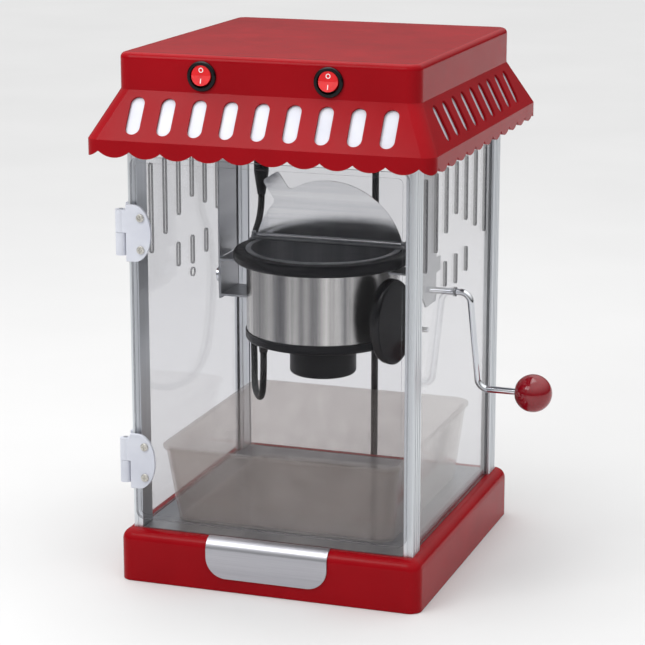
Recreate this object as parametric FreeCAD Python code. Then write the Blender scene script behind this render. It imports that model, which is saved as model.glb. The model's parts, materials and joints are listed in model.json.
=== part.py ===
"""Tabletop popcorn maker: hooded cabinet, tipping kettle, hinged clear door and popcorn tray.

Frame: millimetres, +Z up, front faces -Y, +X is the viewer's right.
Origin: centre of the base, on the surface that the base stands on.
"""
import FreeCAD, Part
import math
import os

V = FreeCAD.Vector
X_AXIS, Y_AXIS, Z_AXIS = V(1, 0, 0), V(0, 1, 0), V(0, 0, 1)

# ---- base ------------------------------------------------------------------
BASE_HX, BASE_HY = 127.6, 136.6       # half width, half depth
BASE_TOP = 42.5
BASE_WALL = 2.5
BASE_CORNER = 10.0
BASE_FILLET = 9.0
COVER_BOTTOM, COVER_TOP = 2.0, 3.2
FLOOR_PLATE = 0.8
BADGE_TOP_HALF, BADGE_THICK = 51.5, 1.2
BADGE_BOTTOM, BADGE_CORNER = 11.0, 17.0
SIDES = (-1, 1)
BOSS_R, PILOT_R = 5.0, 1.6
BOSS_POINTS = [(sx * 104, sy * 62) for sx in SIDES for sy in SIDES]
FOOT_R = 11.0
FOOT_POINTS = [(sx * 100, sy * 108) for sx in SIDES for sy in SIDES]

# ---- posts, windows, ceiling -----------------------------------------------
POST_HX, POST_HY = 119.0, 125.0       # outer faces of the four posts
POST_W, POST_D = 8.0, 20.0
CEILING_Z = 354.0                     # underside of the ceiling pan, top of the posts
WINDOW_X, WINDOW_T = 115.5, 2.0       # centre plane and thickness of a side window
REAR_Y = 121.2                        # centre plane of the rear panel
GROOVE_W, GROOVE_DEPTH, REAR_GROOVE_DEPTH = 2.4, 8.0, 5.0
CHANNEL_X, CHANNEL_Y, CHANNEL_R = 115.0, 117.6, 1.7
CHANNEL_POINTS = [(sx * CHANNEL_X, sy * CHANNEL_Y) for sx in SIDES for sy in SIDES]
RIB_GAP = 0.6                         # half width and depth of the grooves on a post's faces
SLOT_W = 5.5                          # width of the round-ended slots in the windows
SLOT_PITCH, SLOT_TOP, SLOT_BOTTOM = 29.0, 338.0, 294.5
SLOT_STEP = 10.3                      # each slot is this much longer than its inner neighbour
SHORT_PITCH, SHORT_TOP = 31.0, 262.0
SHORT_BOTTOMS = (241.0, 237.0, 241.0)  # rear to front
CRANK_HOLE_R = 4.0
PAN_HX, PAN_HY, PAN_T, PAN_TOP, PAN_CORNER = 120.0, 129.0, 1.5, 400.0, 6.0
LAMP_OPENING_HX, LAMP_OPENING_HY = 34.0, 14.0
LAMP_Z, BULB_R, BULB_CAP_R = 380.0, 13.0, 7.0

# ---- hood ------------------------------------------------------------------
HOOD_HX, HOOD_HY, HOOD_TOP = 123.0, 132.5, 432.0
AWNING_HX, AWNING_HY = 141.7, 155.5
WALL_Z, SLOPE_Z = 403.3, 366.5        # lower end of the walls, lower end of the slope
VALANCE_LOW, VALANCE_HIGH = 353.0, 358.0
HOOD_T, HOOD_ROOF = 2.3, 2.5
HOOD_CORNER = 10.0
HOOD_BOSS_R = 4.0
HOOD_BOSS_POINTS = [(sx * 96, sy * 100) for sx in SIDES for sy in SIDES]
LOBE_PITCH = 26.0
LINER_HIGH, LINER_LOW = 401.5, 368.5
VENT_PITCH, VENT_W, VENT_TOP, VENT_BOTTOM = 25.8, 12.0, 398.5, 371.5
SWITCH_X, SWITCH_Z = 51.6, 416.3
BEZEL_R, BODY_R, ROCKER_R, ROCKER_BORE = 11.8, 10.0, 7.9, 9.1
ROCKER_PIVOT_Y, ROCKER_TILT = -128.5, 7.0
TRUNNION_R, TRUNNION_HALF = 1.5, 9.7  # the rocker's pivot, seated in the bezel's wall

# ---- door and hinges -------------------------------------------------------
DOOR_HX, DOOR_Z0, DOOR_Z1 = 114.6, 51.5, 350.0
DOOR_BACK, DOOR_FACE, DOOR_RIM_FACE = -126.6, -129.6, -130.6
DOOR_RIM = 4.5
HINGE_X, HINGE_Y = -123.4, -129.0
KNUCKLE_R, HINGE_PIN_R, HINGE_BORE_R = 4.6, 1.8, 1.86
HINGE_Z = {"upper": 289.0, "lower": 100.8}
LEAF_HALF, KNUCKLE_HALF, LEAF_SCREW_DZ = 23.0, 18.4, 12.9
LEAF_T, LEAF_SCREW_X, POST_SCREW_Y = 2.4, -105.2, -117.0

# ---- kettle ----------------------------------------------------------------
PIVOT_Z = 230.0
KETTLE_Y = 4.0                        # kettle axis lies just behind the pivot axis
SHELL_R, SHELL_T, SHELL_Z0, SHELL_Z1 = 64.0, 0.8, 189.5, 248.0
RIM_R, RIM_IN, RIM_TOP = 75.0, 61.6, 257.5
POT_R, POT_T, POT_FLOOR = 61.2, 1.2, 203.0
BASE_RING_R, BASE_RING_Z = 65.0, 181.5
MOTOR_R, MOTOR_Z = 28.0, 151.5
LID_R, LID_Y, LID_Z, LID_OPEN = 66.0, 20.0, 262.0, 92.0
TAB_X, TAB_REACH, TAB_W, TAB_TURN = -51.9, 51.4, 16.4, 33.0
HANGER_X, HANGER_Z0 = {-1: 86.0, 1: 90.0}, {-1: 219.0, 1: 215.0}  # left, right
HANGER_T = 1.5
HANGER_Y0, HANGER_Y1 = -12.0, 27.0
HANGER_SCREW_X, HANGER_SCREW_Y = 82.0, (-4.0, 20.0)
LUG_RISE, LUG_SIZE = 8.6, 12.0        # stop lug of the right hanger, above the pivot
BRACKET_X, BRACKET_T, PIN_END = 82.0, 2.0, 92.0
PIVOT_PIN_R, ROD_R, RUN_CLEAR = 4.0, 2.75, 0.08
SHELL_SEAT_R = SHELL_R + 0.02         # what is fixed to the kettle's side stops here
CRANK_OUT, CRANK_LOW, CRANK_END = 128.0, 136.5, 170.0
CRANK_LOW_Z, KNOB_X, KNOB_R = 150.0, 182.7, 15.6
STOP_PIN_DROP, STOP_PIN_R = 34.0, 2.25
HANDLE_AZ, HANDLE_Z = 61.5, 209.5

# ---- tray ------------------------------------------------------------------
TRAY_Y = -3.0
TRAY_Z0, TRAY_TOP, TRAY_T = 43.5, 109.0, 2.0

# ---- leads -----------------------------------------------------------------
KETTLE_LEAD_R = 2.9
PLUG_LOW, PLUG_TAPER, PLUG_NECK = 283.0, 303.0, 316.0  # lead plug: low end, taper's top, body
LEAD_GLAND_TOP_R = 5.5
MAINS_LEAD_R = 3.1
MAINS_X, MAINS_Y, MAINS_EXIT_Z = 1.0, 143.0, 338.0
GLAND_LENGTH = 26.0
COIL_X, COIL_Y, COIL_R = -66.0, 181.0, 31.0
COIL_HALF_W, COIL_H = 6.6, 12.8       # half width of the ring of turns, its height
PLUG_TURN, PLUG_Z = 60.0, 9.0         # where the plug's tail leaves the coil, its height
LEAD_START = (-86.0, 88.0, PLUG_LOW)
KETTLE_LEAD_ROUTE = [LEAD_START, (-86.0, 88.0, 266.0), (-95.0, 89.0, 242.0),
                     (-97.0, 90.0, 208.0), (-95.0, 89.0, 171.0), (-92.0, 84.0, 133.4),
                     (-84.0, 62.0, 113.4), (-66.0, 30.0, 113.4), (-56.5, 12.0, 133.4),
                     (-56.5, 12.0, 161.5)]
MAINS_ROUTE = [(MAINS_X, MAINS_Y, MAINS_EXIT_Z), (MAINS_X, MAINS_Y, 32.4),
               (-9.7, 143.6, 13.9), (-27.2, 145.2, 3.2), (-51.0, 146.9, 3.2)]


def box(x0, x1, y0, y1, z0, z1):
    """Axis-aligned box between two corners given in any order."""
    low = V(min(x0, x1), min(y0, y1), min(z0, z1))
    return Part.makeBox(abs(x1 - x0), abs(y1 - y0), abs(z1 - z0), low)


def cylinder(radius, start, axis, length):
    """Round bar from a start point along an axis."""
    return Part.makeCylinder(radius, length, start, axis)


def fuse(*shapes):
    """One clean solid from touching or overlapping shapes."""
    return shapes[0].multiFuse(list(shapes[1:])).removeSplitter()


def rounded_wire(hx, hy, r, z, cy=0.0):
    """Closed rounded rectangle in a level plane, centred on x = 0, y = cy."""
    corners = [(hx, hy, 0), (-hx, hy, 90), (-hx, -hy, 180), (hx, -hy, 270)]
    edges, last, first = [], None, None
    for px, py, turn in corners:
        centre = V(px - math.copysign(r, px), cy + py - math.copysign(r, py), z)
        a, m, b = [centre + V(r * math.cos(t), r * math.sin(t), 0)
                   for t in (math.radians(turn + d) for d in (0, 45, 90))]
        if last is not None:
            edges.append(Part.makeLine(last, a))
        edges.append(Part.Arc(a, m, b).toShape())
        first = first or a
        last = b
    edges.append(Part.makeLine(last, first))
    return Part.Wire(edges)


def rounded_prism(hx, hy, r, z0, z1, cy=0.0):
    """Upright prism on a rounded rectangle."""
    return Part.Face(rounded_wire(hx, hy, r, z0, cy)).extrude(V(0, 0, z1 - z0))


def rounded_frustum(low, high, cy=0.0):
    """Ruled solid between two (half x, half y, corner radius, z) rounded rectangles."""
    wires = [rounded_wire(hx, hy, r, z, cy) for hx, hy, r, z in (low, high)]
    return Part.makeLoft(wires, True, True)


def obround(width, length, depth):
    """Slot cutter: long side along Z, pushed along Y, centred on the origin."""
    r, half = width / 2, (length - width) / 2
    body = box(-r, r, -depth / 2, depth / 2, -half, half)
    ends = [cylinder(r, V(0, -depth / 2, z), Y_AXIS, depth) for z in (-half, half)]
    return fuse(body, *ends)


def revolve_profile(points, centre_y):
    """Ring or cup from a closed (radius, z) polygon turned about the kettle's axis."""
    outline = Part.makePolygon([V(r, centre_y, z) for r, z in points + points[:1]])
    return Part.Face(outline).revolve(V(0, centre_y, 0), Z_AXIS, 360)


def edges_at_z(shape, z, tolerance=0.01):
    """Edges that lie wholly in the level plane z."""
    return [e for e in shape.Edges
            if abs(e.BoundBox.ZMin - z) < tolerance and abs(e.BoundBox.ZMax - z) < tolerance]


def mirror_x(shape):
    """Copy on the other side of the plane x = 0."""
    return shape.mirror(V(0, 0, 0), X_AXIS)


def mirror_y(shape):
    """Copy on the other side of the plane y = 0."""
    return shape.mirror(V(0, 0, 0), Y_AXIS)


def tube(points, radius, share=0.45, fixed_radius=None):
    """Round bar along straight runs joined by tangent arcs, with its length and arc radii."""
    pts = [V(*p) for p in points]
    edges, start, radii = [], pts[0], []
    for before, corner, after in zip(pts, pts[1:], pts[2:]):
        u, w = (before - corner), (after - corner)
        shorter = min(u.Length, w.Length)
        u.normalize()
        w.normalize()
        half_turn = (math.pi - u.getAngle(w)) / 2
        arc_r = fixed_radius or share * shorter / math.tan(half_turn)
        trim = arc_r * math.tan(half_turn)
        a, b = corner + u * trim, corner + w * trim
        bisector = (u + w).normalize()
        middle = corner + bisector * (arc_r / math.cos(half_turn) - arc_r)
        edges.append(Part.LineSegment(start, a).toShape())
        edges.append(Part.Arc(a, middle, b).toShape())
        radii.append(round(arc_r, 1))
        start = b
    edges.append(Part.LineSegment(start, pts[-1]).toShape())
    spine = Part.Wire(edges)
    profile = Part.Wire([Part.makeCircle(radius, pts[0], pts[1] - pts[0])])
    solid = spine.makePipeShell([profile], True, True)
    return solid, spine.Length, radii


def pan_screw(head_point, axis, length, head_r=3.3, shank_r=1.6):
    """Pan-head screw: the head stands on head_point against the axis, the shank runs along it."""
    head_h = 1.6
    head = cylinder(head_r, head_point - axis * head_h, axis, head_h)
    crown = [e for e in head.Edges if abs((e.CenterOfMass - head_point).dot(axis) + head_h) < 0.01]
    head = head.makeFillet(0.8, crown)
    recess = box(-2.0, 2.0, -0.4, 0.4, -0.4, 0.6).fuse(box(-0.4, 0.4, -2.0, 2.0, -0.4, 0.6))
    turn = FreeCAD.Rotation(Z_AXIS, axis)
    recess.Placement = FreeCAD.Placement(head_point - axis * head_h, turn)
    return fuse(head.cut(recess), cylinder(shank_r, head_point, axis, length))


# ---- base ------------------------------------------------------------------
def make_base_shell():
    """Open-bottomed moulded base with screw bosses and the posts' screw holes."""
    block = rounded_prism(BASE_HX, BASE_HY, BASE_CORNER, 0, BASE_TOP)
    block = block.makeFillet(BASE_FILLET, edges_at_z(block, BASE_TOP))
    inner_r = BASE_FILLET - BASE_WALL
    hollow = rounded_prism(BASE_HX - BASE_WALL, BASE_HY - BASE_WALL, BASE_CORNER - BASE_WALL,
                           0, BASE_TOP - BASE_WALL)
    hollow = hollow.makeFillet(inner_r, edges_at_z(hollow, BASE_TOP - BASE_WALL))
    shell = block.cut(hollow)
    bosses = [cylinder(BOSS_R, V(x, y, COVER_TOP), Z_AXIS, BASE_TOP - BASE_WALL - COVER_TOP)
              for x, y in BOSS_POINTS]
    shell = fuse(shell, *bosses)
    pilots = [cylinder(PILOT_R, V(x, y, COVER_TOP), Z_AXIS, 16) for x, y in BOSS_POINTS]
    post_holes = [cylinder(CHANNEL_R, V(x, y, BASE_TOP - BASE_WALL - 1), Z_AXIS, BASE_WALL + 2)
                  for x, y in CHANNEL_POINTS]
    return shell.cut(Part.makeCompound(pilots + post_holes))


def make_base_cover():
    """Steel plate that closes the base from below."""
    gap = BASE_WALL + 0.5
    plate = rounded_prism(BASE_HX - gap, BASE_HY - gap, BASE_CORNER - gap, COVER_BOTTOM, COVER_TOP)
    holes = [cylinder(1.9, V(x, y, COVER_BOTTOM), Z_AXIS, 2) for x, y in BOSS_POINTS]
    return plate.cut(Part.makeCompound(holes))


def make_foot(x, y):
    """Round rubber pad under the base cover."""
    foot = cylinder(FOOT_R, V(x, y, 0), Z_AXIS, COVER_BOTTOM)
    return foot.makeFillet(0.6, edges_at_z(foot, 0))


def make_floor_plate():
    """Thin steel floor of the cabinet, notched round the posts."""
    top = BASE_TOP + FLOOR_PLATE
    plate = box(-113.4, 113.4, -POST_HY, 119.2, BASE_TOP, top)
    notch_x, notch_y = POST_HX - POST_W - 0.5, POST_HY - POST_D - 0.5
    notches = [box(sx * notch_x, sx * 130, sy * notch_y, sy * 130, BASE_TOP, top)
               for sx in SIDES for sy in SIDES]
    return plate.cut(Part.makeCompound(notches))


def badge_section(thickness):
    """Front wall, fillet and a short lip of the deck, grown outward by thickness."""
    wall_y, lip_y = -BASE_HY - thickness, -BASE_HY + BASE_FILLET
    arc_z, top = BASE_TOP - BASE_FILLET, BASE_TOP + thickness
    r = BASE_FILLET + thickness
    middle = V(0, lip_y - r * math.cos(math.pi / 4), arc_z + r * math.sin(math.pi / 4))
    a, b = V(0, wall_y, arc_z), V(0, lip_y, top)
    inside = V(0, lip_y, 0)
    edges = [Part.makeLine(V(0, wall_y, 0), a), Part.Arc(a, middle, b).toShape(),
             Part.makeLine(b, inside), Part.makeLine(inside, V(0, wall_y, 0))]
    solid = Part.Face(Part.Wire(edges)).extrude(V(2 * BADGE_TOP_HALF, 0, 0))
    solid.translate(V(-BADGE_TOP_HALF, 0, 0))
    return solid


def make_front_plate():
    """Plain aluminium plate that wraps over the base's front edge."""
    band = badge_section(BADGE_THICK).cut(badge_section(0.0))
    outline = box(-BADGE_TOP_HALF, BADGE_TOP_HALF, -160, -120, BADGE_BOTTOM, 60)
    lower = [e for e in outline.Edges
             if abs(e.BoundBox.ZMax - BADGE_BOTTOM) < 0.01 and e.BoundBox.YLength > 1]
    return band.common(outline.makeFillet(BADGE_CORNER, lower))


# ---- posts and panels ------------------------------------------------------
def make_post(rear):
    """Front-right or rear-right aluminium extrusion; the left ones are mirrored."""
    x0, x1 = POST_HX - POST_W, POST_HX
    y0, y1 = POST_HY - POST_D, POST_HY
    post = box(x0, x1, y0, y1, BASE_TOP, CEILING_Z)
    upright = [e for e in post.Edges if e.BoundBox.ZLength > 1]
    post = post.makeFillet(0.8, upright)
    groove_x = WINDOW_X - GROOVE_W / 2
    cuts = [box(groove_x, groove_x + GROOVE_W, y0, y0 + GROOVE_DEPTH, BASE_TOP, CEILING_Z),
            cylinder(CHANNEL_R, V(CHANNEL_X, CHANNEL_Y, BASE_TOP), Z_AXIS, CEILING_Z - BASE_TOP)]
    if rear:
        low = REAR_Y - GROOVE_W / 2
        cuts.append(box(x0, x0 + REAR_GROOVE_DEPTH, low, low + GROOVE_W, BASE_TOP, CEILING_Z))
    for y in (y0 + 5, y0 + 10, y0 + 15):
        cuts.append(box(x1 - RIB_GAP, x1, y - RIB_GAP, y + RIB_GAP, BASE_TOP, CEILING_Z))
    middle = x0 + POST_W / 2
    cuts.append(box(middle - RIB_GAP, middle + RIB_GAP, y1 - RIB_GAP, y1, BASE_TOP, CEILING_Z))
    post = post.cut(Part.makeCompound(cuts))
    return post if rear else mirror_y(post)


def hinge_screw_holes():
    """Cutters for the screws that hold the post leaves."""
    return [cylinder(1.55, V(-POST_HX, POST_SCREW_Y, HINGE_Z[name] + dz), X_AXIS, 7.2)
            for name in HINGE_Z for dz in (-LEAF_SCREW_DZ, LEAF_SCREW_DZ)]


def make_side_window(side):
    """Clear side sheet with its pattern of slots and the crank's hole; side is +1 or -1."""
    half = POST_HY - POST_D + GROOVE_DEPTH - 0.6
    x = side * WINDOW_X
    sheet = box(x - WINDOW_T / 2, x + WINDOW_T / 2, -half, half, BASE_TOP + 0.4, CEILING_Z - 0.5)
    cuts = []
    for k in range(-3, 4):
        bottom = SLOT_BOTTOM - abs(k) * SLOT_STEP
        cuts.append(window_slot(x, k * SLOT_PITCH, bottom, SLOT_TOP))
    for k, bottom in zip((-1, 0, 1), SHORT_BOTTOMS):
        cuts.append(window_slot(x, k * SHORT_PITCH, bottom, SHORT_TOP))
    cuts.append(cylinder(CRANK_HOLE_R, V(x - 5, 0, PIVOT_Z), X_AXIS, 10))
    return sheet.cut(Part.makeCompound(cuts))


def window_slot(x, y, bottom, top):
    """Upright slot cutter through a side window."""
    slot = obround(SLOT_W, top - bottom, 10)
    slot.rotate(V(0, 0, 0), Z_AXIS, 90)
    slot.translate(V(x, y, (top + bottom) / 2))
    return slot


def make_rear_panel():
    """Clear sheet that slides into the rear posts' grooves."""
    half = POST_HX - POST_W + REAR_GROOVE_DEPTH - 0.6
    return box(-half, half, REAR_Y - WINDOW_T / 2, REAR_Y + WINDOW_T / 2,
               BASE_TOP + 0.4, CEILING_Z - 0.5)


def make_ceiling_pan():
    """Steel pan over the posts, with the lamp's opening and the holes for leads and screws."""
    pan = rounded_prism(PAN_HX, PAN_HY, PAN_CORNER, CEILING_Z, PAN_TOP)
    pan = pan.cut(rounded_prism(PAN_HX - PAN_T, PAN_HY - PAN_T, PAN_CORNER - PAN_T,
                                CEILING_Z + PAN_T, PAN_TOP + 1))
    holes = [cylinder(CHANNEL_R + 0.2, V(x, y, CEILING_Z - 1), Z_AXIS, 4) for x, y in CHANNEL_POINTS]
    holes += [cylinder(1.8, V(x, y, CEILING_Z - 1), Z_AXIS, 4) for x, y in HOOD_BOSS_POINTS]
    holes += [cylinder(1.8, V(sx * HANGER_SCREW_X, y, CEILING_Z - 1), Z_AXIS, 4)
              for sx in SIDES for y in HANGER_SCREW_Y]
    holes.append(box(-LAMP_OPENING_HX, LAMP_OPENING_HX, -LAMP_OPENING_HY, LAMP_OPENING_HY,
                     CEILING_Z - 1, CEILING_Z + 3))
    holes.append(cylinder(5.2, V(*LEAD_START[:2], CEILING_Z - 1), Z_AXIS, 4))
    holes.append(cylinder(5.0, V(MAINS_X, PAN_HY - 3, MAINS_EXIT_Z + GLAND_LENGTH), Y_AXIS, 5))
    return pan.cut(Part.makeCompound(holes))


# ---- hood ------------------------------------------------------------------
def hood_body(inset, roof):
    """Solid outline of the hood, moved inward by inset and with its roof lowered by roof."""
    top = rounded_prism(HOOD_HX - inset, HOOD_HY - inset, HOOD_CORNER - inset, WALL_Z,
                        HOOD_TOP - roof)
    if roof == 0:
        top = top.makeFillet(4.5, edges_at_z(top, HOOD_TOP))
    slope = rounded_frustum((AWNING_HX - inset, AWNING_HY - inset, HOOD_CORNER - inset, SLOPE_Z),
                            (HOOD_HX - inset, HOOD_HY - inset, HOOD_CORNER - inset, WALL_Z))
    valance = rounded_prism(AWNING_HX - inset, AWNING_HY - inset, HOOD_CORNER - inset,
                            VALANCE_LOW, SLOPE_Z)
    return fuse(top, slope, valance)


def scallop_cutter(half_length, along_x, reach):
    """Strip under the scalloped edge: a bar with the round lobes taken out of it."""
    depth = VALANCE_HIGH - VALANCE_LOW
    lobe_r = ((LOBE_PITCH / 2) ** 2 + depth ** 2) / (2 * depth)
    lobes = round(2 * half_length / LOBE_PITCH)
    first = -half_length + LOBE_PITCH / 2
    strip = box(-half_length - 13, half_length + 13, reach - 15, reach + 8,
                VALANCE_LOW - 2, VALANCE_HIGH)
    discs = [cylinder(lobe_r, V(first + i * LOBE_PITCH, reach - 16, VALANCE_LOW + lobe_r),
                      Y_AXIS, 26) for i in range(-1, lobes + 1)]
    cutter = strip.cut(Part.makeCompound(discs))
    if not along_x:
        cutter.rotate(V(0, 0, 0), Z_AXIS, -90)
    return cutter


def vent_slots():
    """Obround openings through the four sloping faces."""
    slots = []
    rise = WALL_Z - SLOPE_Z
    for half_top, half_low, turn in ((HOOD_HY, AWNING_HY, 0), (HOOD_HX, AWNING_HX, 90),
                                     (HOOD_HY, AWNING_HY, 180), (HOOD_HX, AWNING_HX, 270)):
        flare = half_low - half_top
        lean = math.degrees(math.atan2(flare, rise))
        length = (VENT_TOP - VENT_BOTTOM) / math.cos(math.radians(lean))
        mid_z = (VENT_TOP + VENT_BOTTOM) / 2
        out = half_top + flare * (WALL_Z - mid_z) / rise
        for k in range(-4, 5):
            slot = obround(VENT_W, length, 12)
            slot.rotate(V(0, 0, 0), X_AXIS, -lean)
            slot.translate(V(k * VENT_PITCH, -out, mid_z))
            slot.rotate(V(0, 0, 0), Z_AXIS, turn)
            slots.append(slot)
    return slots


def make_hood_shell():
    """Red hood: walls, sloping awning with vents, scalloped valance and screw bosses."""
    shell = hood_body(0, 0).cut(hood_body(HOOD_T, HOOD_ROOF))
    front_half, side_half = 5 * LOBE_PITCH, 5.5 * LOBE_PITCH
    front = scallop_cutter(front_half, True, -AWNING_HY + 3)
    side = scallop_cutter(side_half, False, AWNING_HX - 3)
    edge_cuts = [front, mirror_y(front), side, mirror_x(side)]
    holes = [cylinder(BODY_R + 0.2, V(sx * SWITCH_X, -HOOD_HY - 3, SWITCH_Z), Y_AXIS, 8)
             for sx in (-1, 1)]
    shell = shell.cut(Part.makeCompound(vent_slots()))
    for cutter in edge_cuts + holes:
        shell = shell.cut(cutter)
    roof = HOOD_TOP - HOOD_ROOF
    foot = CEILING_Z + PAN_T
    bosses = [cylinder(HOOD_BOSS_R, V(x, y, foot), Z_AXIS, roof - foot + 0.5)
              for x, y in HOOD_BOSS_POINTS]
    shell = fuse(shell, *bosses)
    pilots = [cylinder(PILOT_R, V(x, y, foot), Z_AXIS, 14) for x, y in HOOD_BOSS_POINTS]
    return shell.cut(Part.makeCompound(pilots))


def make_hood_liner():
    """White skirt that lies just behind the slots of the sloping faces."""

    def ring(inset):
        def half(z):
            down = (WALL_Z - z) / (WALL_Z - SLOPE_Z)
            return (HOOD_HX - inset + (AWNING_HX - HOOD_HX) * down,
                    HOOD_HY - inset + (AWNING_HY - HOOD_HY) * down)
        corner = HOOD_CORNER - inset
        return rounded_frustum((*half(LINER_LOW), corner, LINER_LOW),
                               (*half(LINER_HIGH), corner, LINER_HIGH))

    return ring(HOOD_T + 0.5).cut(ring(HOOD_T + 1.7))


def make_switch_bezel(x):
    """Black switch body with its flange on the hood, bore for the rocker and two blades."""
    face = -HOOD_HY
    flange = cylinder(BEZEL_R, V(x, face - 2.2, SWITCH_Z), Y_AXIS, 2.2)
    rim = [e for e in flange.Edges if abs(e.CenterOfMass.y - (face - 2.2)) < 0.01]
    flange = flange.makeFillet(1.2, rim)
    body = cylinder(BODY_R, V(x, face, SWITCH_Z), Y_AXIS, 20)
    blades = [box(x - 3.2, x + 3.2, face + 19, face + 28, SWITCH_Z + dz - 0.4, SWITCH_Z + dz + 0.4)
              for dz in (-5, 5)]
    bore = cylinder(ROCKER_BORE, V(x, face - 3, SWITCH_Z), Y_AXIS, 12)
    seat = cylinder(TRUNNION_R + RUN_CLEAR, V(x - BEZEL_R, ROCKER_PIVOT_Y, SWITCH_Z), X_AXIS,
                    2 * BEZEL_R)
    return fuse(flange, body, *blades).cut(bore).cut(seat)


def make_rocker(x):
    """Round rocker with a shallow dished face, resting with its upper edge pressed in."""
    front, back = -HOOD_HY - 2.8, -HOOD_HY + 5.0
    rocker = cylinder(ROCKER_R, V(x, front, SWITCH_Z), Y_AXIS, back - front)
    dish = Part.makePolygon([V(x - 10, front - 1, SWITCH_Z - 10), V(x - 10, front - 1, SWITCH_Z + 10),
                             V(x - 10, front, SWITCH_Z + 8), V(x - 10, front + 1.0, SWITCH_Z),
                             V(x - 10, front, SWITCH_Z - 8), V(x - 10, front - 1, SWITCH_Z - 10)])
    rocker = rocker.cut(Part.Face(dish).extrude(V(20, 0, 0)))
    trunnions = cylinder(TRUNNION_R, V(x - TRUNNION_HALF, ROCKER_PIVOT_Y, SWITCH_Z), X_AXIS,
                         2 * TRUNNION_HALF)
    rocker = fuse(rocker, trunnions)
    rocker.rotate(V(x, ROCKER_PIVOT_Y, SWITCH_Z), X_AXIS, -ROCKER_TILT)
    return rocker


def make_lamp():
    """Holder on a foot, and the bulb over the opening in the ceiling."""
    foot = box(-50, -38, -10, 10, CEILING_Z + PAN_T, LAMP_Z - 10)
    holder = fuse(foot, cylinder(12, V(-52, 0, LAMP_Z), X_AXIS, 24))
    socket = cylinder(BULB_CAP_R + 0.05, V(-44, 0, LAMP_Z), X_AXIS, 20)
    glass = Part.makeSphere(BULB_R, V(6, 0, LAMP_Z)).fuse(cylinder(9, V(-26, 0, LAMP_Z), X_AXIS, 26))
    bulb = fuse(glass, cylinder(BULB_CAP_R, V(-43.5, 0, LAMP_Z), X_AXIS, 18))
    return holder.cut(socket), bulb


# ---- door and hinges -------------------------------------------------------
def make_door_panel():
    """Clear door with a raised rim and the holes of the two hinge leaves."""
    mid_z, half_z = (DOOR_Z0 + DOOR_Z1) / 2, (DOOR_Z1 - DOOR_Z0) / 2

    def slab(inset, y0, y1):
        plate = rounded_prism(DOOR_HX - inset, half_z - inset, 7 - inset * 0.6, 0, y1 - y0)
        plate.rotate(V(0, 0, 0), X_AXIS, 90)
        plate.translate(V(0, y1, mid_z))
        return plate

    panel = slab(0, DOOR_RIM_FACE, DOOR_BACK).cut(slab(DOOR_RIM, DOOR_RIM_FACE - 1, DOOR_FACE))
    holes = [cylinder(1.7, V(LEAF_SCREW_X, DOOR_FACE - 2, HINGE_Z[n] + dz), Y_AXIS, 8)
             for n in HINGE_Z for dz in (-LEAF_SCREW_DZ, LEAF_SCREW_DZ)]
    return panel.cut(Part.makeCompound(holes))


def leaf_plate(length, straight):
    """Leaf in the X-Z plane: straight part, then a half-ellipse end; thickness along +Y."""
    arc = Part.Ellipse(V(straight, 0, LEAF_HALF), V(length, 0, 0), V(straight, 0, 0))
    arc = Part.ArcOfEllipse(arc, 0, math.pi).toShape()
    a, b = arc.Vertexes[0].Point, arc.Vertexes[-1].Point
    low, high = V(0, 0, -LEAF_HALF), V(0, 0, LEAF_HALF)
    if a.z > b.z:
        a, b = b, a
    outline = Part.Wire(Part.sortEdges([Part.makeLine(high, low), Part.makeLine(low, a), arc,
                                        Part.makeLine(b, high)])[0])
    plate = Part.Face(outline).extrude(V(0, LEAF_T, 0))
    rim = [e for e in plate.Edges if e.BoundBox.YLength < 0.01 and abs(e.BoundBox.YMin) < 0.01]
    return plate.makeFillet(0.7, rim)


def make_hinge(name):
    """Door leaf with the upper knuckle, post leaf with the lower knuckle, and the pin."""
    zc = HINGE_Z[name]
    split = 0.15
    bore = cylinder(HINGE_BORE_R, V(HINGE_X, HINGE_Y, zc - 25), Z_AXIS, 50)

    leaf_left = -118.0
    plate = leaf_plate(21.4, 7.0)
    plate.translate(V(leaf_left, DOOR_RIM_FACE - LEAF_T, zc))
    pad = box(-109, -101, DOOR_RIM_FACE - 0.5, DOOR_FACE, zc - 17, zc + 17)
    web = box(HINGE_X, leaf_left + 1, DOOR_RIM_FACE - LEAF_T, DOOR_RIM_FACE,
              zc + split, zc + KNUCKLE_HALF)
    knuckle = cylinder(KNUCKLE_R, V(HINGE_X, HINGE_Y, zc + split), Z_AXIS, KNUCKLE_HALF - split)
    door_leaf = fuse(plate, pad, web, knuckle).cut(bore)
    for dz in (-LEAF_SCREW_DZ, LEAF_SCREW_DZ):
        door_leaf = door_leaf.cut(cylinder(1.7, V(LEAF_SCREW_X, -140, zc + dz), Y_AXIS, 20))

    side = leaf_plate(20.0, 7.0)
    side.rotate(V(0, 0, 0), Z_AXIS, 90)
    side.translate(V(-POST_HX, -123.6, zc))
    web = box(-POST_HX - LEAF_T, -POST_HX, HINGE_Y, -122, zc - KNUCKLE_HALF, zc - split)
    knuckle = cylinder(KNUCKLE_R, V(HINGE_X, HINGE_Y, zc - KNUCKLE_HALF), Z_AXIS,
                       KNUCKLE_HALF - split)
    post_leaf = fuse(side, web, knuckle).cut(bore)
    for dz in (-LEAF_SCREW_DZ, LEAF_SCREW_DZ):
        post_leaf = post_leaf.cut(cylinder(1.7, V(-130, POST_SCREW_Y, zc + dz), X_AXIS, 20))

    pin_half = KNUCKLE_HALF + 0.6
    pin = cylinder(HINGE_PIN_R, V(HINGE_X, HINGE_Y, zc - pin_half), Z_AXIS, 2 * pin_half)
    return door_leaf, post_leaf, pin


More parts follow.
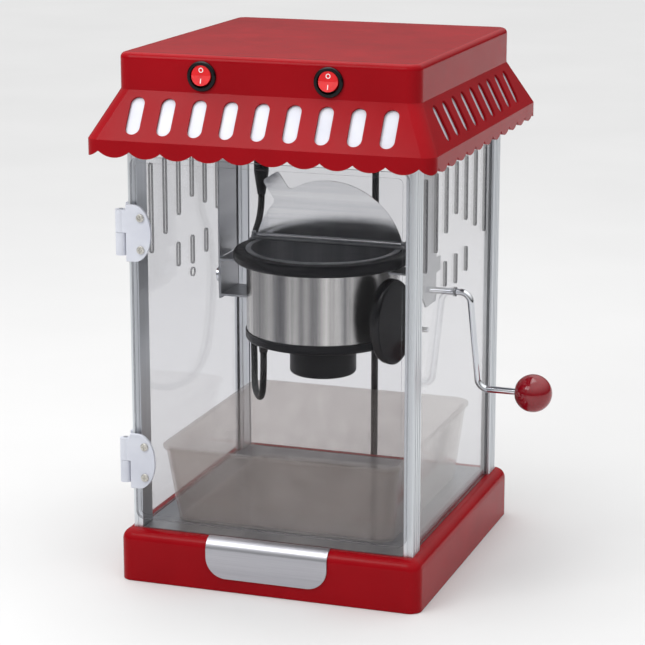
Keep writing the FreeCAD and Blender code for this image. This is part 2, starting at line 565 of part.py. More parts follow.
# ---- kettle ----------------------------------------------------------------
def make_kettle_shell():
    """Outer wall of the kettle."""
    ring = [(SHELL_R - SHELL_T, SHELL_Z0), (SHELL_R, SHELL_Z0), (SHELL_R, SHELL_Z1),
            (SHELL_R - SHELL_T, SHELL_Z1)]
    return revolve_profile(ring, KETTLE_Y)


def make_kettle_rim():
    """Black insulating ring round the kettle's mouth."""
    ring = revolve_profile([(RIM_IN, SHELL_Z1), (RIM_R, SHELL_Z1), (RIM_R, RIM_TOP),
                            (RIM_IN, RIM_TOP)], KETTLE_Y)
    outer = [e for e in ring.Edges if e.BoundBox.XLength > 2 * RIM_R - 1]
    return ring.makeFillet(3.6, outer)


def make_inner_pot():
    """Aluminium cooking pot with a flange that lies on the rim."""
    cup = cylinder(POT_R, V(0, KETTLE_Y, POT_FLOOR), Z_AXIS, RIM_TOP - POT_FLOOR)
    cup = cup.makeFillet(10, edges_at_z(cup, POT_FLOOR))
    flange = cylinder(64.5, V(0, KETTLE_Y, RIM_TOP), Z_AXIS, 0.9)
    inner = cylinder(POT_R - POT_T, V(0, KETTLE_Y, POT_FLOOR + POT_T), Z_AXIS, 70)
    inner = inner.makeFillet(10 - POT_T, edges_at_z(inner, POT_FLOOR + POT_T))
    shaft_hole = cylinder(3.4, V(0, KETTLE_Y, POT_FLOOR - 1), Z_AXIS, 4)
    return fuse(cup, flange).cut(inner).cut(shaft_hole)


def make_kettle_base_ring():
    """Black ring under the kettle's wall."""
    ring = cylinder(BASE_RING_R, V(0, KETTLE_Y, BASE_RING_Z), Z_AXIS, SHELL_Z0 - BASE_RING_Z)
    ring = ring.makeFillet(3, edges_at_z(ring, BASE_RING_Z))
    hollow = cylinder(SHELL_R - SHELL_T, V(0, KETTLE_Y, BASE_RING_Z + 2.5), Z_AXIS, 10)
    neck = cylinder(25.0, V(0, KETTLE_Y, BASE_RING_Z - 1), Z_AXIS, 10)
    return ring.cut(hollow).cut(neck)


def make_heating_element():
    """Heating ring under the pot with its two studs."""
    ring = Part.makeTorus(42, 4, V(0, KETTLE_Y, POT_FLOOR - 4), Z_AXIS)
    studs = [cylinder(2, V(x, KETTLE_Y + 41.5, POT_FLOOR - 16), Z_AXIS, 12) for x in (-6, 6)]
    return fuse(ring, *studs)


def make_motor_parts():
    """Housing under the kettle and the stirring motor in it."""
    depth = BASE_RING_Z - MOTOR_Z
    housing = cylinder(MOTOR_R, V(0, KETTLE_Y, MOTOR_Z), Z_AXIS, depth)
    housing = housing.makeFillet(3, edges_at_z(housing, MOTOR_Z))
    housing = housing.cut(cylinder(MOTOR_R - 2, V(0, KETTLE_Y, MOTOR_Z + 2), Z_AXIS, depth))
    motor = fuse(cylinder(24, V(0, KETTLE_Y, MOTOR_Z + 2), Z_AXIS, 22),
                 cylinder(8, V(0, KETTLE_Y, MOTOR_Z + 22), Z_AXIS, 10))
    return housing, motor


def make_stirrer():
    """Drive shaft, hub and two stirring wires that sweep just over the pot's floor."""
    foot = MOTOR_Z + 32.4
    shaft = cylinder(3, V(0, KETTLE_Y, foot), Z_AXIS, 222 - foot)
    hub = cylinder(6, V(0, KETTLE_Y, 206), Z_AXIS, 17)
    hub = hub.makeFillet(2.5, edges_at_z(hub, 223))
    turn = math.radians(25)
    solids = [shaft, hub]
    for s in (-1, 1):
        ux, uy = s * math.cos(turn), s * math.sin(turn)
        route = [(ux * r, KETTLE_Y + uy * r, z) for r, z in ((2, 209), (49, 209), (53, 224))]
        solids.append(tube(route, 1.8, fixed_radius=5)[0])
    return fuse(*solids)


def make_handle():
    """Black oval grip on a round stem, standing off the front right of the kettle."""
    oval = Part.Ellipse(V(0, 0, 35.5), V(21, 0, 0), V(0, 0, 0))
    disc = Part.Face(Part.Wire([oval.toShape()])).extrude(V(0, 12, 0))
    disc = disc.makeFillet(3.6, disc.Edges[:])
    disc.translate(V(0, -88, 0))
    stem = cylinder(7.5, V(0, -78, 0), Y_AXIS, 20)
    grip = fuse(disc, stem)
    grip.translate(V(0, 0, HANDLE_Z))
    grip.rotate(V(0, 0, 0), Z_AXIS, HANDLE_AZ)
    grip.translate(V(0, KETTLE_Y, 0))
    return grip.cut(cylinder(SHELL_SEAT_R, V(0, KETTLE_Y, 180), Z_AXIS, 60))


def make_bracket(side, half_width, z0, z1, leg_z):
    """Upright strap with two level legs that reach the kettle's side."""
    x0, x1 = side * BRACKET_X, side * (BRACKET_X + BRACKET_T)
    strap = box(x0, x1, -half_width, half_width, z0, z1)
    legs = [box(side * 55, x1, -half_width, half_width, z, z + 1.8) for z in leg_z]
    bracket = fuse(strap, *legs)
    return bracket.cut(cylinder(SHELL_SEAT_R, V(0, KETTLE_Y, 170), Z_AXIS, 110))


def make_left_pivot_pin():
    """Headed pin that lies in the left hanger's open seat."""
    shaft = cylinder(PIVOT_PIN_R, V(-PIN_END, 0, PIVOT_Z), X_AXIS, PIN_END - BRACKET_X - BRACKET_T)
    head = cylinder(6.5, V(-PIN_END, 0, PIVOT_Z), X_AXIS, 2.5)
    return fuse(shaft, head)


def make_crank_rod():
    """Bent rod that pivots in the right hanger and carries the knob outside the window."""
    route = [(BRACKET_X + BRACKET_T, 0, PIVOT_Z), (CRANK_OUT, 0, PIVOT_Z),
             (CRANK_LOW, 0, CRANK_LOW_Z), (CRANK_END + 6, 0, CRANK_LOW_Z)]
    rod, _, _ = tube(route, ROD_R, fixed_radius=9)
    collar = Part.makeCone(7, 4.5, 4.5, V(BRACKET_X + BRACKET_T, 0, PIVOT_Z), X_AXIS)
    return fuse(rod, collar)


def make_crank_knob():
    """Red ball on the end of the crank rod."""
    ball = Part.makeSphere(KNOB_R, V(KNOB_X, 0, CRANK_LOW_Z))
    flat = KNOB_X - KNOB_R + 1.6
    ball = ball.cut(box(flat - 10, flat, -20, 20, CRANK_LOW_Z - 20, CRANK_LOW_Z + 20))
    return ball.cut(cylinder(ROD_R, V(flat - 1, 0, CRANK_LOW_Z), X_AXIS, CRANK_END + 7 - flat))


def make_hanger(side):
    """Steel plate hung from the ceiling; left has an open seat, right a plain bearing hole."""
    inner, low = HANGER_X[side], HANGER_Z0[side]
    x0, x1 = side * inner, side * (inner + HANGER_T)
    plate = box(x0, x1, HANGER_Y0, HANGER_Y1, low, CEILING_Z)
    flange = box(side * (inner - 16), x1, HANGER_Y0, HANGER_Y1, CEILING_Z - HANGER_T, CEILING_Z)
    hanger = fuse(plate, flange)
    if side < 0:
        seat = PIVOT_PIN_R + RUN_CLEAR
        cuts = [cylinder(seat, V(x1 - 1, 0, PIVOT_Z), X_AXIS, 4),
                box(x0 + 1, x1 - 1, -seat, seat, PIVOT_Z, PIVOT_Z + 17),
                box(x0 + 1, x1 - 1, -seat, HANGER_Y1 + 1, PIVOT_Z + 8, PIVOT_Z + 17)]
    else:
        lug_z = PIVOT_Z + LUG_RISE
        hanger = fuse(hanger, box(x0, x1, HANGER_Y1, HANGER_Y1 + LUG_SIZE, lug_z, lug_z + LUG_SIZE))
        chamfer = Part.makePolygon([V(x0 - 1, HANGER_Y0, low - 1),
                                    V(x0 - 1, HANGER_Y0 + 12, low - 1),
                                    V(x0 - 1, HANGER_Y0 - 1, low + 12),
                                    V(x0 - 1, HANGER_Y0, low - 1)])
        cuts = [cylinder(ROD_R + RUN_CLEAR, V(x0 - 1, 0, PIVOT_Z), X_AXIS, 4),
                Part.Face(chamfer).extrude(V(4, 0, 0))]
    cuts += [cylinder(1.8, V(side * HANGER_SCREW_X, y, CEILING_Z - 3), Z_AXIS, 4)
             for y in HANGER_SCREW_Y]
    return hanger.cut(Part.makeCompound(cuts))


def make_lid():
    """Cross bar with the hinge wire on the rim, and the flap held open above it."""
    low = RIM_TOP + 0.9
    bar = box(-70, 70, LID_Y - 5, LID_Y + 5, low, low + 1.0)
    lugs = [box(s * 66.6, s * 68.6, LID_Y - 3, LID_Y + 3, low, LID_Z + 2.6) for s in (-1, 1)]
    wire = cylinder(1.3, V(-68.6, LID_Y, LID_Z), X_AXIS, 137.2)
    hinge_bar = fuse(bar, *lugs, wire)

    sheet = cylinder(LID_R, V(0, KETTLE_Y, LID_Z - 0.5), Z_AXIS, 1.0)
    sheet = sheet.cut(box(-80, 80, KETTLE_Y - 80, LID_Y + 1.0, LID_Z - 5, LID_Z + 5))
    tab = box(-TAB_W / 2, TAB_W / 2, -30, 0, -0.5, 0.5)
    tip = [e for e in tab.Edges if e.BoundBox.ZLength > 0.5 and e.CenterOfMass.y > -1]
    tab = tab.makeFillet(3.0, tip)
    tab.rotate(V(0, 0, 0), Z_AXIS, TAB_TURN)
    tab.translate(V(TAB_X, LID_Y + TAB_REACH, LID_Z))
    leaf = fuse(sheet, tab)
    roots = [e for e in leaf.Edges if e.BoundBox.ZLength > 0.5 and e.BoundBox.DiagonalLength < 1.1
             and abs((e.CenterOfMass - V(0, KETTLE_Y, LID_Z)).Length - LID_R) < 0.1
             and e.CenterOfMass.y > LID_Y + 10]
    leaf = leaf.makeFillet(4.0, roots)
    barrel = cylinder(2.2, V(-63.5, LID_Y, LID_Z), X_AXIS, 127)
    flap = fuse(leaf, barrel).cut(cylinder(1.38, V(-70, LID_Y, LID_Z), X_AXIS, 140))
    flap.rotate(V(0, LID_Y, LID_Z), X_AXIS, LID_OPEN)
    return hinge_bar, flap


# ---- tray ------------------------------------------------------------------
def make_tray():
    """Open tapered tray with a lip that catches the popcorn."""
    low, high = (93.0, 98.0, 12.0, TRAY_Z0), (100.0, 111.0, 15.0, TRAY_TOP)
    outer = rounded_frustum(low, high, TRAY_Y)
    lip = rounded_prism(102, 113, 17, TRAY_TOP - 2.2, TRAY_TOP, TRAY_Y)
    inner = rounded_frustum((low[0] - TRAY_T, low[1] - TRAY_T, 10.0, TRAY_Z0 + TRAY_T),
                            (high[0] - TRAY_T, high[1] - TRAY_T, 13.0, TRAY_TOP + 0.1), TRAY_Y)
    return fuse(outer, lip).cut(inner)


# ---- leads -----------------------------------------------------------------
def make_lead_plug():
    """Plug that holds the kettle's lead in its socket on the ceiling, with a tapered tail."""
    x, y, z = LEAD_START
    tail = Part.makeCone(3.5, 6.5, PLUG_TAPER - z, V(x, y, z), Z_AXIS)
    tail = tail.fuse(cylinder(6.5, V(x, y, PLUG_TAPER), Z_AXIS, PLUG_NECK - PLUG_TAPER))
    body = cylinder(9, V(x, y, PLUG_NECK), Z_AXIS, 32)
    body = body.makeFillet(2, edges_at_z(body, PLUG_NECK))
    collar = cylinder(11, V(x, y, PLUG_NECK + 32), Z_AXIS, CEILING_Z - PLUG_NECK - 32)
    return fuse(tail, body, collar, cylinder(5.1, V(x, y, CEILING_Z), Z_AXIS, 6))


def make_kettle_gland():
    """Tapered strain relief under the rear left of the kettle."""
    x, y, z = KETTLE_LEAD_ROUTE[-1]
    return Part.makeCone(3.5, LEAD_GLAND_TOP_R, BASE_RING_Z - z, V(x, y, z), Z_AXIS)


def make_mains_gland():
    """Tapered strain relief behind the hood, on a neck from the ceiling pan."""
    neck_y = 127.8
    cone = Part.makeCone(3.9, 7.0, GLAND_LENGTH, V(MAINS_X, MAINS_Y, MAINS_EXIT_Z), Z_AXIS)
    elbow = Part.makeSphere(7.0, V(MAINS_X, MAINS_Y, MAINS_EXIT_Z + GLAND_LENGTH))
    neck = cylinder(4.9, V(MAINS_X, neck_y, MAINS_EXIT_Z + GLAND_LENGTH), Y_AXIS, MAINS_Y - neck_y)
    return fuse(cone, elbow, neck)


def make_coil():
    """Outer shape of the neatly wound spare lead: a flat ring of turns."""
    ring = cylinder(COIL_R + COIL_HALF_W, V(COIL_X, COIL_Y, 0), Z_AXIS, COIL_H)
    ring = ring.cut(cylinder(COIL_R - COIL_HALF_W, V(COIL_X, COIL_Y, -1), Z_AXIS, COIL_H + 2))
    return ring.makeFillet(3.0, [e for e in ring.Edges if e.BoundBox.ZLength < 0.01])


def make_mains_plug():
    """Two-pin plug lying beside the coil, its tail meeting the coil's outer turn."""
    tail = Part.makeCone(3.5, 6.0, 25, V(20, 0, PLUG_Z), X_AXIS)
    body = box(44, 72, -13, 13, 0.5, 17.5)
    body = body.makeFillet(4, [e for e in body.Edges if e.BoundBox.XLength > 1])
    pins = [cylinder(2.3, V(71, y, PLUG_Z), X_AXIS, 20) for y in (-7, 7)]
    plug = fuse(tail, body, *pins)
    plug.rotate(V(0, 0, 0), Z_AXIS, PLUG_TURN - 90)
    turn = math.radians(PLUG_TURN)
    plug.translate(V(COIL_X + COIL_R * math.cos(turn), COIL_Y + COIL_R * math.sin(turn), 0))
    return plug


def make_screws():
    """Every group of identical fasteners, one compound of separate solids per group."""
    down, back = Z_AXIS * -1, Y_AXIS
    groups = {
        "base_cover_screws": [pan_screw(V(x, y, COVER_BOTTOM), Z_AXIS, 14, shank_r=1.5)
                              for x, y in BOSS_POINTS],
        "hood_screws": [pan_screw(V(x, y, CEILING_Z), Z_AXIS, 12, shank_r=1.5)
                        for x, y in HOOD_BOSS_POINTS],
        "hanger_screws": [pan_screw(V(s * HANGER_SCREW_X, y, CEILING_Z - 1.5), Z_AXIS, 6,
                                    shank_r=1.7)
                          for s in SIDES for y in HANGER_SCREW_Y],
        "hinge_door_screws": [pan_screw(V(LEAF_SCREW_X, DOOR_RIM_FACE - LEAF_T, HINGE_Z[n] + dz),
                                        back, 6.2)
                              for n in HINGE_Z for dz in (-LEAF_SCREW_DZ, LEAF_SCREW_DZ)],
        "hinge_post_screws": [pan_screw(V(-POST_HX - LEAF_T, POST_SCREW_Y, HINGE_Z[n] + dz),
                                        X_AXIS, 9, shank_r=1.5)
                              for n in HINGE_Z for dz in (-LEAF_SCREW_DZ, LEAF_SCREW_DZ)],
        "post_screws": [pan_screw(V(x, y, BASE_TOP - BASE_WALL), Z_AXIS, 16)
                        for x, y in CHANNEL_POINTS]
                       + [pan_screw(V(x, y, CEILING_Z + PAN_T), down, 16)
                          for x, y in CHANNEL_POINTS],
    }
    return {name: Part.makeCompound(solids) for name, solids in groups.items()}


def build():
    """All nodes of the assembly by name."""
    nodes = {"base_shell": make_base_shell(), "base_cover": make_base_cover(),
             "base_feet": Part.makeCompound([make_foot(x, y) for x, y in FOOT_POINTS]),
             "floor_plate": make_floor_plate(), "front_plate": make_front_plate(),
             "ceiling_pan": make_ceiling_pan(), "rear_panel": make_rear_panel(),
             "left_window": make_side_window(-1), "right_window": make_side_window(1)}
    for place, rear in (("front", False), ("rear", True)):
        nodes[f"post_{place}_right"] = make_post(rear)
        nodes[f"post_{place}_left"] = mirror_x(make_post(rear))
    nodes["post_front_left"] = nodes["post_front_left"].cut(Part.makeCompound(hinge_screw_holes()))
    nodes["hood_shell"] = make_hood_shell()
    nodes["hood_liner"] = make_hood_liner()
    for side, x, rocker in (("left", -SWITCH_X, "lamp_rocker"), ("right", SWITCH_X, "kettle_rocker")):
        nodes[f"switch_bezel_{side}"] = make_switch_bezel(x)
        nodes[rocker] = make_rocker(x)
    nodes["lamp_holder"], nodes["lamp_bulb"] = make_lamp()
    nodes["hanger_left"], nodes["hanger_right"] = make_hanger(-1), make_hanger(1)
    nodes["door_panel"] = make_door_panel()
    pins = []
    for name in HINGE_Z:
        door_leaf, post_leaf, pin = make_hinge(name)
        nodes[f"{name}_hinge_door_leaf"] = door_leaf
        nodes[f"{name}_hinge_post_leaf"] = post_leaf
        pins.append(pin)
    nodes["hinge_pins"] = Part.makeCompound(pins)
    nodes["kettle_shell"] = make_kettle_shell()
    nodes["kettle_rim"] = make_kettle_rim()
    nodes["inner_pot"] = make_inner_pot()
    nodes["kettle_base_ring"] = make_kettle_base_ring()
    nodes["heating_element"] = make_heating_element()
    nodes["motor_housing"], nodes["stir_motor"] = make_motor_parts()
    nodes["stirrer"] = make_stirrer()
    nodes["kettle_handle"] = make_handle()
    nodes["left_pivot_bracket"] = make_bracket(-1, 20.0, 214.0, 247.8, (216.0, 246.0))
    nodes["right_pivot_bracket"] = make_bracket(1, 12.0, 190.0, 262.0, (192.0, 243.0))
    nodes["left_pivot_pin"] = make_left_pivot_pin()
    nodes["stop_pin"] = cylinder(STOP_PIN_R, V(BRACKET_X + BRACKET_T, 0, PIVOT_Z - STOP_PIN_DROP),
                                 X_AXIS, 9)
    nodes["crank_rod"] = make_crank_rod()
    nodes["crank_knob"] = make_crank_knob()
    nodes["lid_hinge_bar"], nodes["lid_flap"] = make_lid()
    nodes["popcorn_tray"] = make_tray()
    nodes["kettle_lead_plug"] = make_lead_plug()
    nodes["kettle_lead_gland"] = make_kettle_gland()
    nodes["mains_gland"] = make_mains_gland()
    for name, route, r in (("kettle_lead", KETTLE_LEAD_ROUTE, KETTLE_LEAD_R),
                           ("mains_lead", MAINS_ROUTE, MAINS_LEAD_R)):
        nodes[name], length, radii = tube(route, r)
        expected = math.pi * r ** 2 * length
        print(f"{name}: length {length:.1f}, radii {radii}, "
              f"volume {nodes[name].Volume:.0f} against {expected:.0f}")
    nodes["mains_coil"] = make_coil()
    nodes["mains_plug"] = make_mains_plug()
    nodes.update(make_screws())
    return nodes


def main():
    """Writes one STEP file per node."""
    os.makedirs("parts", exist_ok=True)
    for name, shape in build().items():
        if not shape.isValid():
            print(f"{name}: not valid")
        shape.exportStep(f"parts/{name}.step")
        print(f"{name}: {len(shape.Solids)} solid(s), {shape.Volume / 1000:.2f} cm3")


main()
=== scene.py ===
"""Looks of a tabletop popcorn maker: cabinet, hood, door, tipping kettle, tray and leads.

Metres, +Z up, front faces -Y, +X is the viewer's right. The CAD frame gives every shape
and place. This script gives each piece its finish and adds the soft leads, the coil's tie
and the marks on the switches.
"""

import json
import logging
import math
from dataclasses import dataclass
from enum import Enum
from typing import Optional, Sequence

import bpy
from mathutils import Matrix, Vector

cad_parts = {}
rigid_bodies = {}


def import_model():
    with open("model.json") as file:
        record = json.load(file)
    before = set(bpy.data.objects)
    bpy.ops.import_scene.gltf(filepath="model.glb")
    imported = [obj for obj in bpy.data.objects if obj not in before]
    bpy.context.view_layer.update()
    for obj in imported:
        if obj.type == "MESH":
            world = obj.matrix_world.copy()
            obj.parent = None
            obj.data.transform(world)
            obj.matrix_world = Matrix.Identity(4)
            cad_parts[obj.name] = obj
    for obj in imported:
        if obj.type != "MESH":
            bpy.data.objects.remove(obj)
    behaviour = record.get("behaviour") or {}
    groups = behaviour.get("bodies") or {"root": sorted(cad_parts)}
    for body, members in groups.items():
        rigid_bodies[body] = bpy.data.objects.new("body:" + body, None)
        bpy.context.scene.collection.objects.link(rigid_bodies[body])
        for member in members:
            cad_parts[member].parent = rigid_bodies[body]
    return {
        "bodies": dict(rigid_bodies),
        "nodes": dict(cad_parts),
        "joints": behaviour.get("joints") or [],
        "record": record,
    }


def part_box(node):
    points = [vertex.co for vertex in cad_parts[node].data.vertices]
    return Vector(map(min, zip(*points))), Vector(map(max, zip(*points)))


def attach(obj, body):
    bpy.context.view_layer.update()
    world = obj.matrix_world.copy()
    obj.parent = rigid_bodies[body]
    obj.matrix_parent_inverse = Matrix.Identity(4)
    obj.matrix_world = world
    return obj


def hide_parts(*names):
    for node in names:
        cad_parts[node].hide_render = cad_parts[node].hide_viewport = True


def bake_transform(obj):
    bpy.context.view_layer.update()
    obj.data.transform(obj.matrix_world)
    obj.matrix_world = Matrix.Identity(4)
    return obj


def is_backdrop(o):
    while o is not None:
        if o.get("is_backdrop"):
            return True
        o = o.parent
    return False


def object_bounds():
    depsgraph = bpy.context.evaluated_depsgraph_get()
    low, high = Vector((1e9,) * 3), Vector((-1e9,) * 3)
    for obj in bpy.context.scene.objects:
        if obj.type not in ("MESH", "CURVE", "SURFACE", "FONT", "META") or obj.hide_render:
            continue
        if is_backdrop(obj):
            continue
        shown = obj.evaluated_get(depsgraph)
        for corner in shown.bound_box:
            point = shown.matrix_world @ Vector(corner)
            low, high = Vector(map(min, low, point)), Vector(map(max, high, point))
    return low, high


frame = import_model()

LOG = logging.getLogger("popcorn_maker")
MM = 0.001  # metres in one millimetre
SPLINE_STEPS = 12  # points that a curve draws between two of its route's points
CLEAR_BOUNCES = 32  # a view through door, tray and rear sheet crosses a dozen clear faces

Point = tuple[float, float, float]


def linear(hex_colour: str) -> tuple[float, float, float, float]:
    """Turns an sRGB hex colour to linear RGBA.

    Args:
        hex_colour: six hex digits, with or without a leading hash.

    Returns:
        The linear red, green and blue, and an alpha of one.
    """
    digits = hex_colour.lstrip("#")
    channels = []
    for start in (0, 2, 4):
        value = int(digits[start : start + 2], 16) / 255
        channels.append(value / 12.92 if value <= 0.04045 else ((value + 0.055) / 1.055) ** 2.4)
    return (channels[0], channels[1], channels[2], 1.0)


def per_metre(size_mm: float) -> float:
    """Gives the texture scale whose pattern repeats about every size_mm millimetres."""
    return 1.0 / (size_mm * MM)


def add_node(
    tree: bpy.types.NodeTree,
    kind: str,
    settings: Optional[dict] = None,
    inputs: Optional[dict] = None,
) -> bpy.types.Node:
    """Adds a node with its settings, its input values and its links.

    Args:
        tree: the node tree that the node goes into.
        kind: the node's type identifier.
        settings: attribute values by attribute name.
        inputs: by input name or index, a constant or the output socket to link.

    Returns:
        The new node.
    """
    node = tree.nodes.new(kind)
    for attribute, value in (settings or {}).items():
        setattr(node, attribute, value)
    for key, value in (inputs or {}).items():
        socket = node.inputs[key]
        if isinstance(value, bpy.types.NodeSocket):
            tree.links.new(value, socket)
        else:
            socket.default_value = value
    return node


class Grain(Enum):
    """Direction in which a metal's brush lines run, as the share of stretch along X, Y and Z."""

    UPRIGHT = (1.0, 1.0, 0.008)
    LEVEL = (0.012, 0.012, 1.0)
    DEPTHWISE = (1.0, 0.01, 1.0)


class Across(Enum):
    """Direction through the thickness of a clear sheet, in its own axes."""

    SIDE_TO_SIDE = (1.0, 0.0, 0.0)
    FRONT_TO_BACK = (0.0, 1.0, 0.0)


@dataclass(frozen=True)
class Finish:
    """One finish of the machine, named for its material and how its surface was made."""

    name: str

    def shader(self, tree: bpy.types.NodeTree) -> bpy.types.NodeSocket:
        """Builds the finish's shader nodes.

        Args:
            tree: the material's node tree.

        Returns:
            The socket that goes to the material's surface.
        """
        raise NotImplementedError

    def material(self) -> bpy.types.Material:
        """Builds the material once, and gives the same one again when asked again.

        Returns:
            The finished material.
        """
        made = bpy.data.materials.get(self.name)
        if made is not None:
            return made
        made = bpy.data.materials.new(self.name)
        made.use_nodes = True
        tree = made.node_tree
        tree.nodes.clear()
        surface = self.shader(tree)
        add_node(tree, "ShaderNodeOutputMaterial", inputs={"Surface": surface})
        return made


@dataclass(frozen=True)
class MouldedSurface(Finish):
    """Moulded or extruded polymer, or glazed ceramic: slight colour drift, fine skin, gloss."""

    colour: str = "808080"
    shade: str = "707070"
    drift_mm: float = 45.0
    gloss: float = 0.2
    dull: float = 0.3
    skin_mm: float = 2.0
    skin_height_mm: float = 0.01
    ior: float = 1.5
    coat: float = 0.0
    specular: float = 0.5

    def shader(self, tree: bpy.types.NodeTree) -> bpy.types.NodeSocket:
        """Builds the polymer: drift of colour, smudged roughness and skin bump.

        Args:
            tree: the material's node tree.

        Returns:
            The principled shader's output.
        """
        place = add_node(tree, "ShaderNodeTexCoord").outputs["Object"]
        flow = add_node(
            tree,
            "ShaderNodeTexNoise",
            inputs={"Vector": place, "Scale": per_metre(self.drift_mm), "Detail": 3.0},
        )
        spread = add_node(
            tree,
            "ShaderNodeMapRange",
            inputs={"Value": flow.outputs["Fac"], "From Min": 0.32, "From Max": 0.68},
        )
        colour = add_node(
            tree,
            "ShaderNodeMix",
            {"data_type": "RGBA"},
            {0: spread.outputs[0], 6: linear(self.shade), 7: linear(self.colour)},
        )
        smudge = add_node(
            tree,
            "ShaderNodeTexNoise",
            inputs={"Vector": place, "Scale": per_metre(self.drift_mm / 4), "Detail": 6.0},
        )
        roughness = add_node(
            tree,
            "ShaderNodeMapRange",
            inputs={
                "Value": smudge.outputs["Fac"],
                "From Min": 0.3,
                "From Max": 0.7,
                "To Min": self.gloss,
                "To Max": self.dull,
            },
        )
        skin = add_node(
            tree,
            "ShaderNodeTexNoise",
            inputs={"Vector": place, "Scale": per_metre(self.skin_mm), "Detail": 2.0},
        )
        bump = add_node(
            tree,
            "ShaderNodeBump",
            inputs={
                "Height": skin.outputs["Fac"],
                "Strength": 1.0,
                "Distance": self.skin_height_mm * MM,
            },
        )
        body = add_node(
            tree,
            "ShaderNodeBsdfPrincipled",
            inputs={
                "Base Color": colour.outputs[2],
                "Roughness": roughness.outputs[0],
                "Normal": bump.outputs["Normal"],
                "IOR": self.ior,
                "Specular IOR Level": self.specular,
                "Coat Weight": self.coat,
                "Coat Roughness": 0.05,
            },
        )
        return body.outputs["BSDF"]


@dataclass(frozen=True)
class BrushedMetal(Finish):
    """Brushed, drawn or anodised metal: fine lines along one direction, broad soft bands."""

    colour: str = "C0C0C0"
    shade: str = "909090"
    grain: Grain = Grain.UPRIGHT
    line_mm: float = 0.6
    line_depth_mm: float = 0.004
    band_mm: float = 30.0
    band_grain: Grain = Grain.UPRIGHT
    smooth: float = 0.25
    rough: float = 0.4
    anisotropy: float = 0.0
    line_share: float = 0.35

    def shader(self, tree: bpy.types.NodeTree) -> bpy.types.NodeSocket:
        """Builds the metal: lines in roughness and bump, bands in colour.

        Args:
            tree: the material's node tree.

        Returns:
            The principled shader's output.
        """
        place = add_node(tree, "ShaderNodeTexCoord").outputs["Object"]
        along = add_node(
            tree,
            "ShaderNodeMapping",
            {"vector_type": "POINT"},
            {"Vector": place, "Scale": self.grain.value},
        )
        lines = add_node(
            tree,
            "ShaderNodeTexNoise",
            inputs={
                "Vector": along.outputs[0],
                "Scale": per_metre(self.line_mm),
                "Detail": 3.0,
                "Roughness": 0.65,
            },
        )
        across = add_node(
            tree,
            "ShaderNodeMapping",
            {"vector_type": "POINT"},
            {"Vector": place, "Scale": self.band_grain.value},
        )
        # Broad bands of colour between the shade and the colour. On the kettle they run upright
        # and are painted reflections: light and dark streaks painted into its colour. On the
        # other metals they are a soft drift of tone.
        bands = add_node(
            tree,
            "ShaderNodeTexNoise",
            inputs={
                "Vector": across.outputs[0],
                "Scale": per_metre(self.band_mm),
                "Detail": 4.0,
                "Roughness": 0.55,
            },
        )
        both = add_node(
            tree,
            "ShaderNodeMath",
            {"operation": "MULTIPLY_ADD"},
            {0: lines.outputs["Fac"], 1: self.line_share, 2: bands.outputs["Fac"]},
        )
        spread = add_node(
            tree,
            "ShaderNodeMapRange",
            inputs={
                "Value": both.outputs[0],
                "From Min": 0.325 + self.line_share / 2,
                "From Max": 0.685 + self.line_share / 2,
            },
        )
        colour = add_node(
            tree,
            "ShaderNodeMix",
            {"data_type": "RGBA"},
            {0: spread.outputs[0], 6: linear(self.shade), 7: linear(self.colour)},
        )
        roughness = add_node(
            tree,
            "ShaderNodeMapRange",
            inputs={
                "Value": lines.outputs["Fac"],
                "From Min": 0.3,
                "From Max": 0.7,
                "To Min": self.smooth,
                "To Max": self.rough,
            },
        )
        bump = add_node(
            tree,
            "ShaderNodeBump",
            inputs={
                "Height": lines.outputs["Fac"],
                "Strength": 0.8,
                "Distance": self.line_depth_mm * MM,
            },
        )
        tangent = add_node(tree, "ShaderNodeTangent", {"direction_type": "RADIAL", "axis": "Z"})
        metal = add_node(
            tree,
            "ShaderNodeBsdfPrincipled",
            inputs={
                "Base Color": colour.outputs[2],
                "Metallic": 1.0,
                "Roughness": roughness.outputs[0],
                "Anisotropic": self.anisotropy,
                "Tangent": tangent.outputs[0],
                "Normal": bump.outputs["Normal"],
            },
        )
        return metal.outputs["BSDF"]


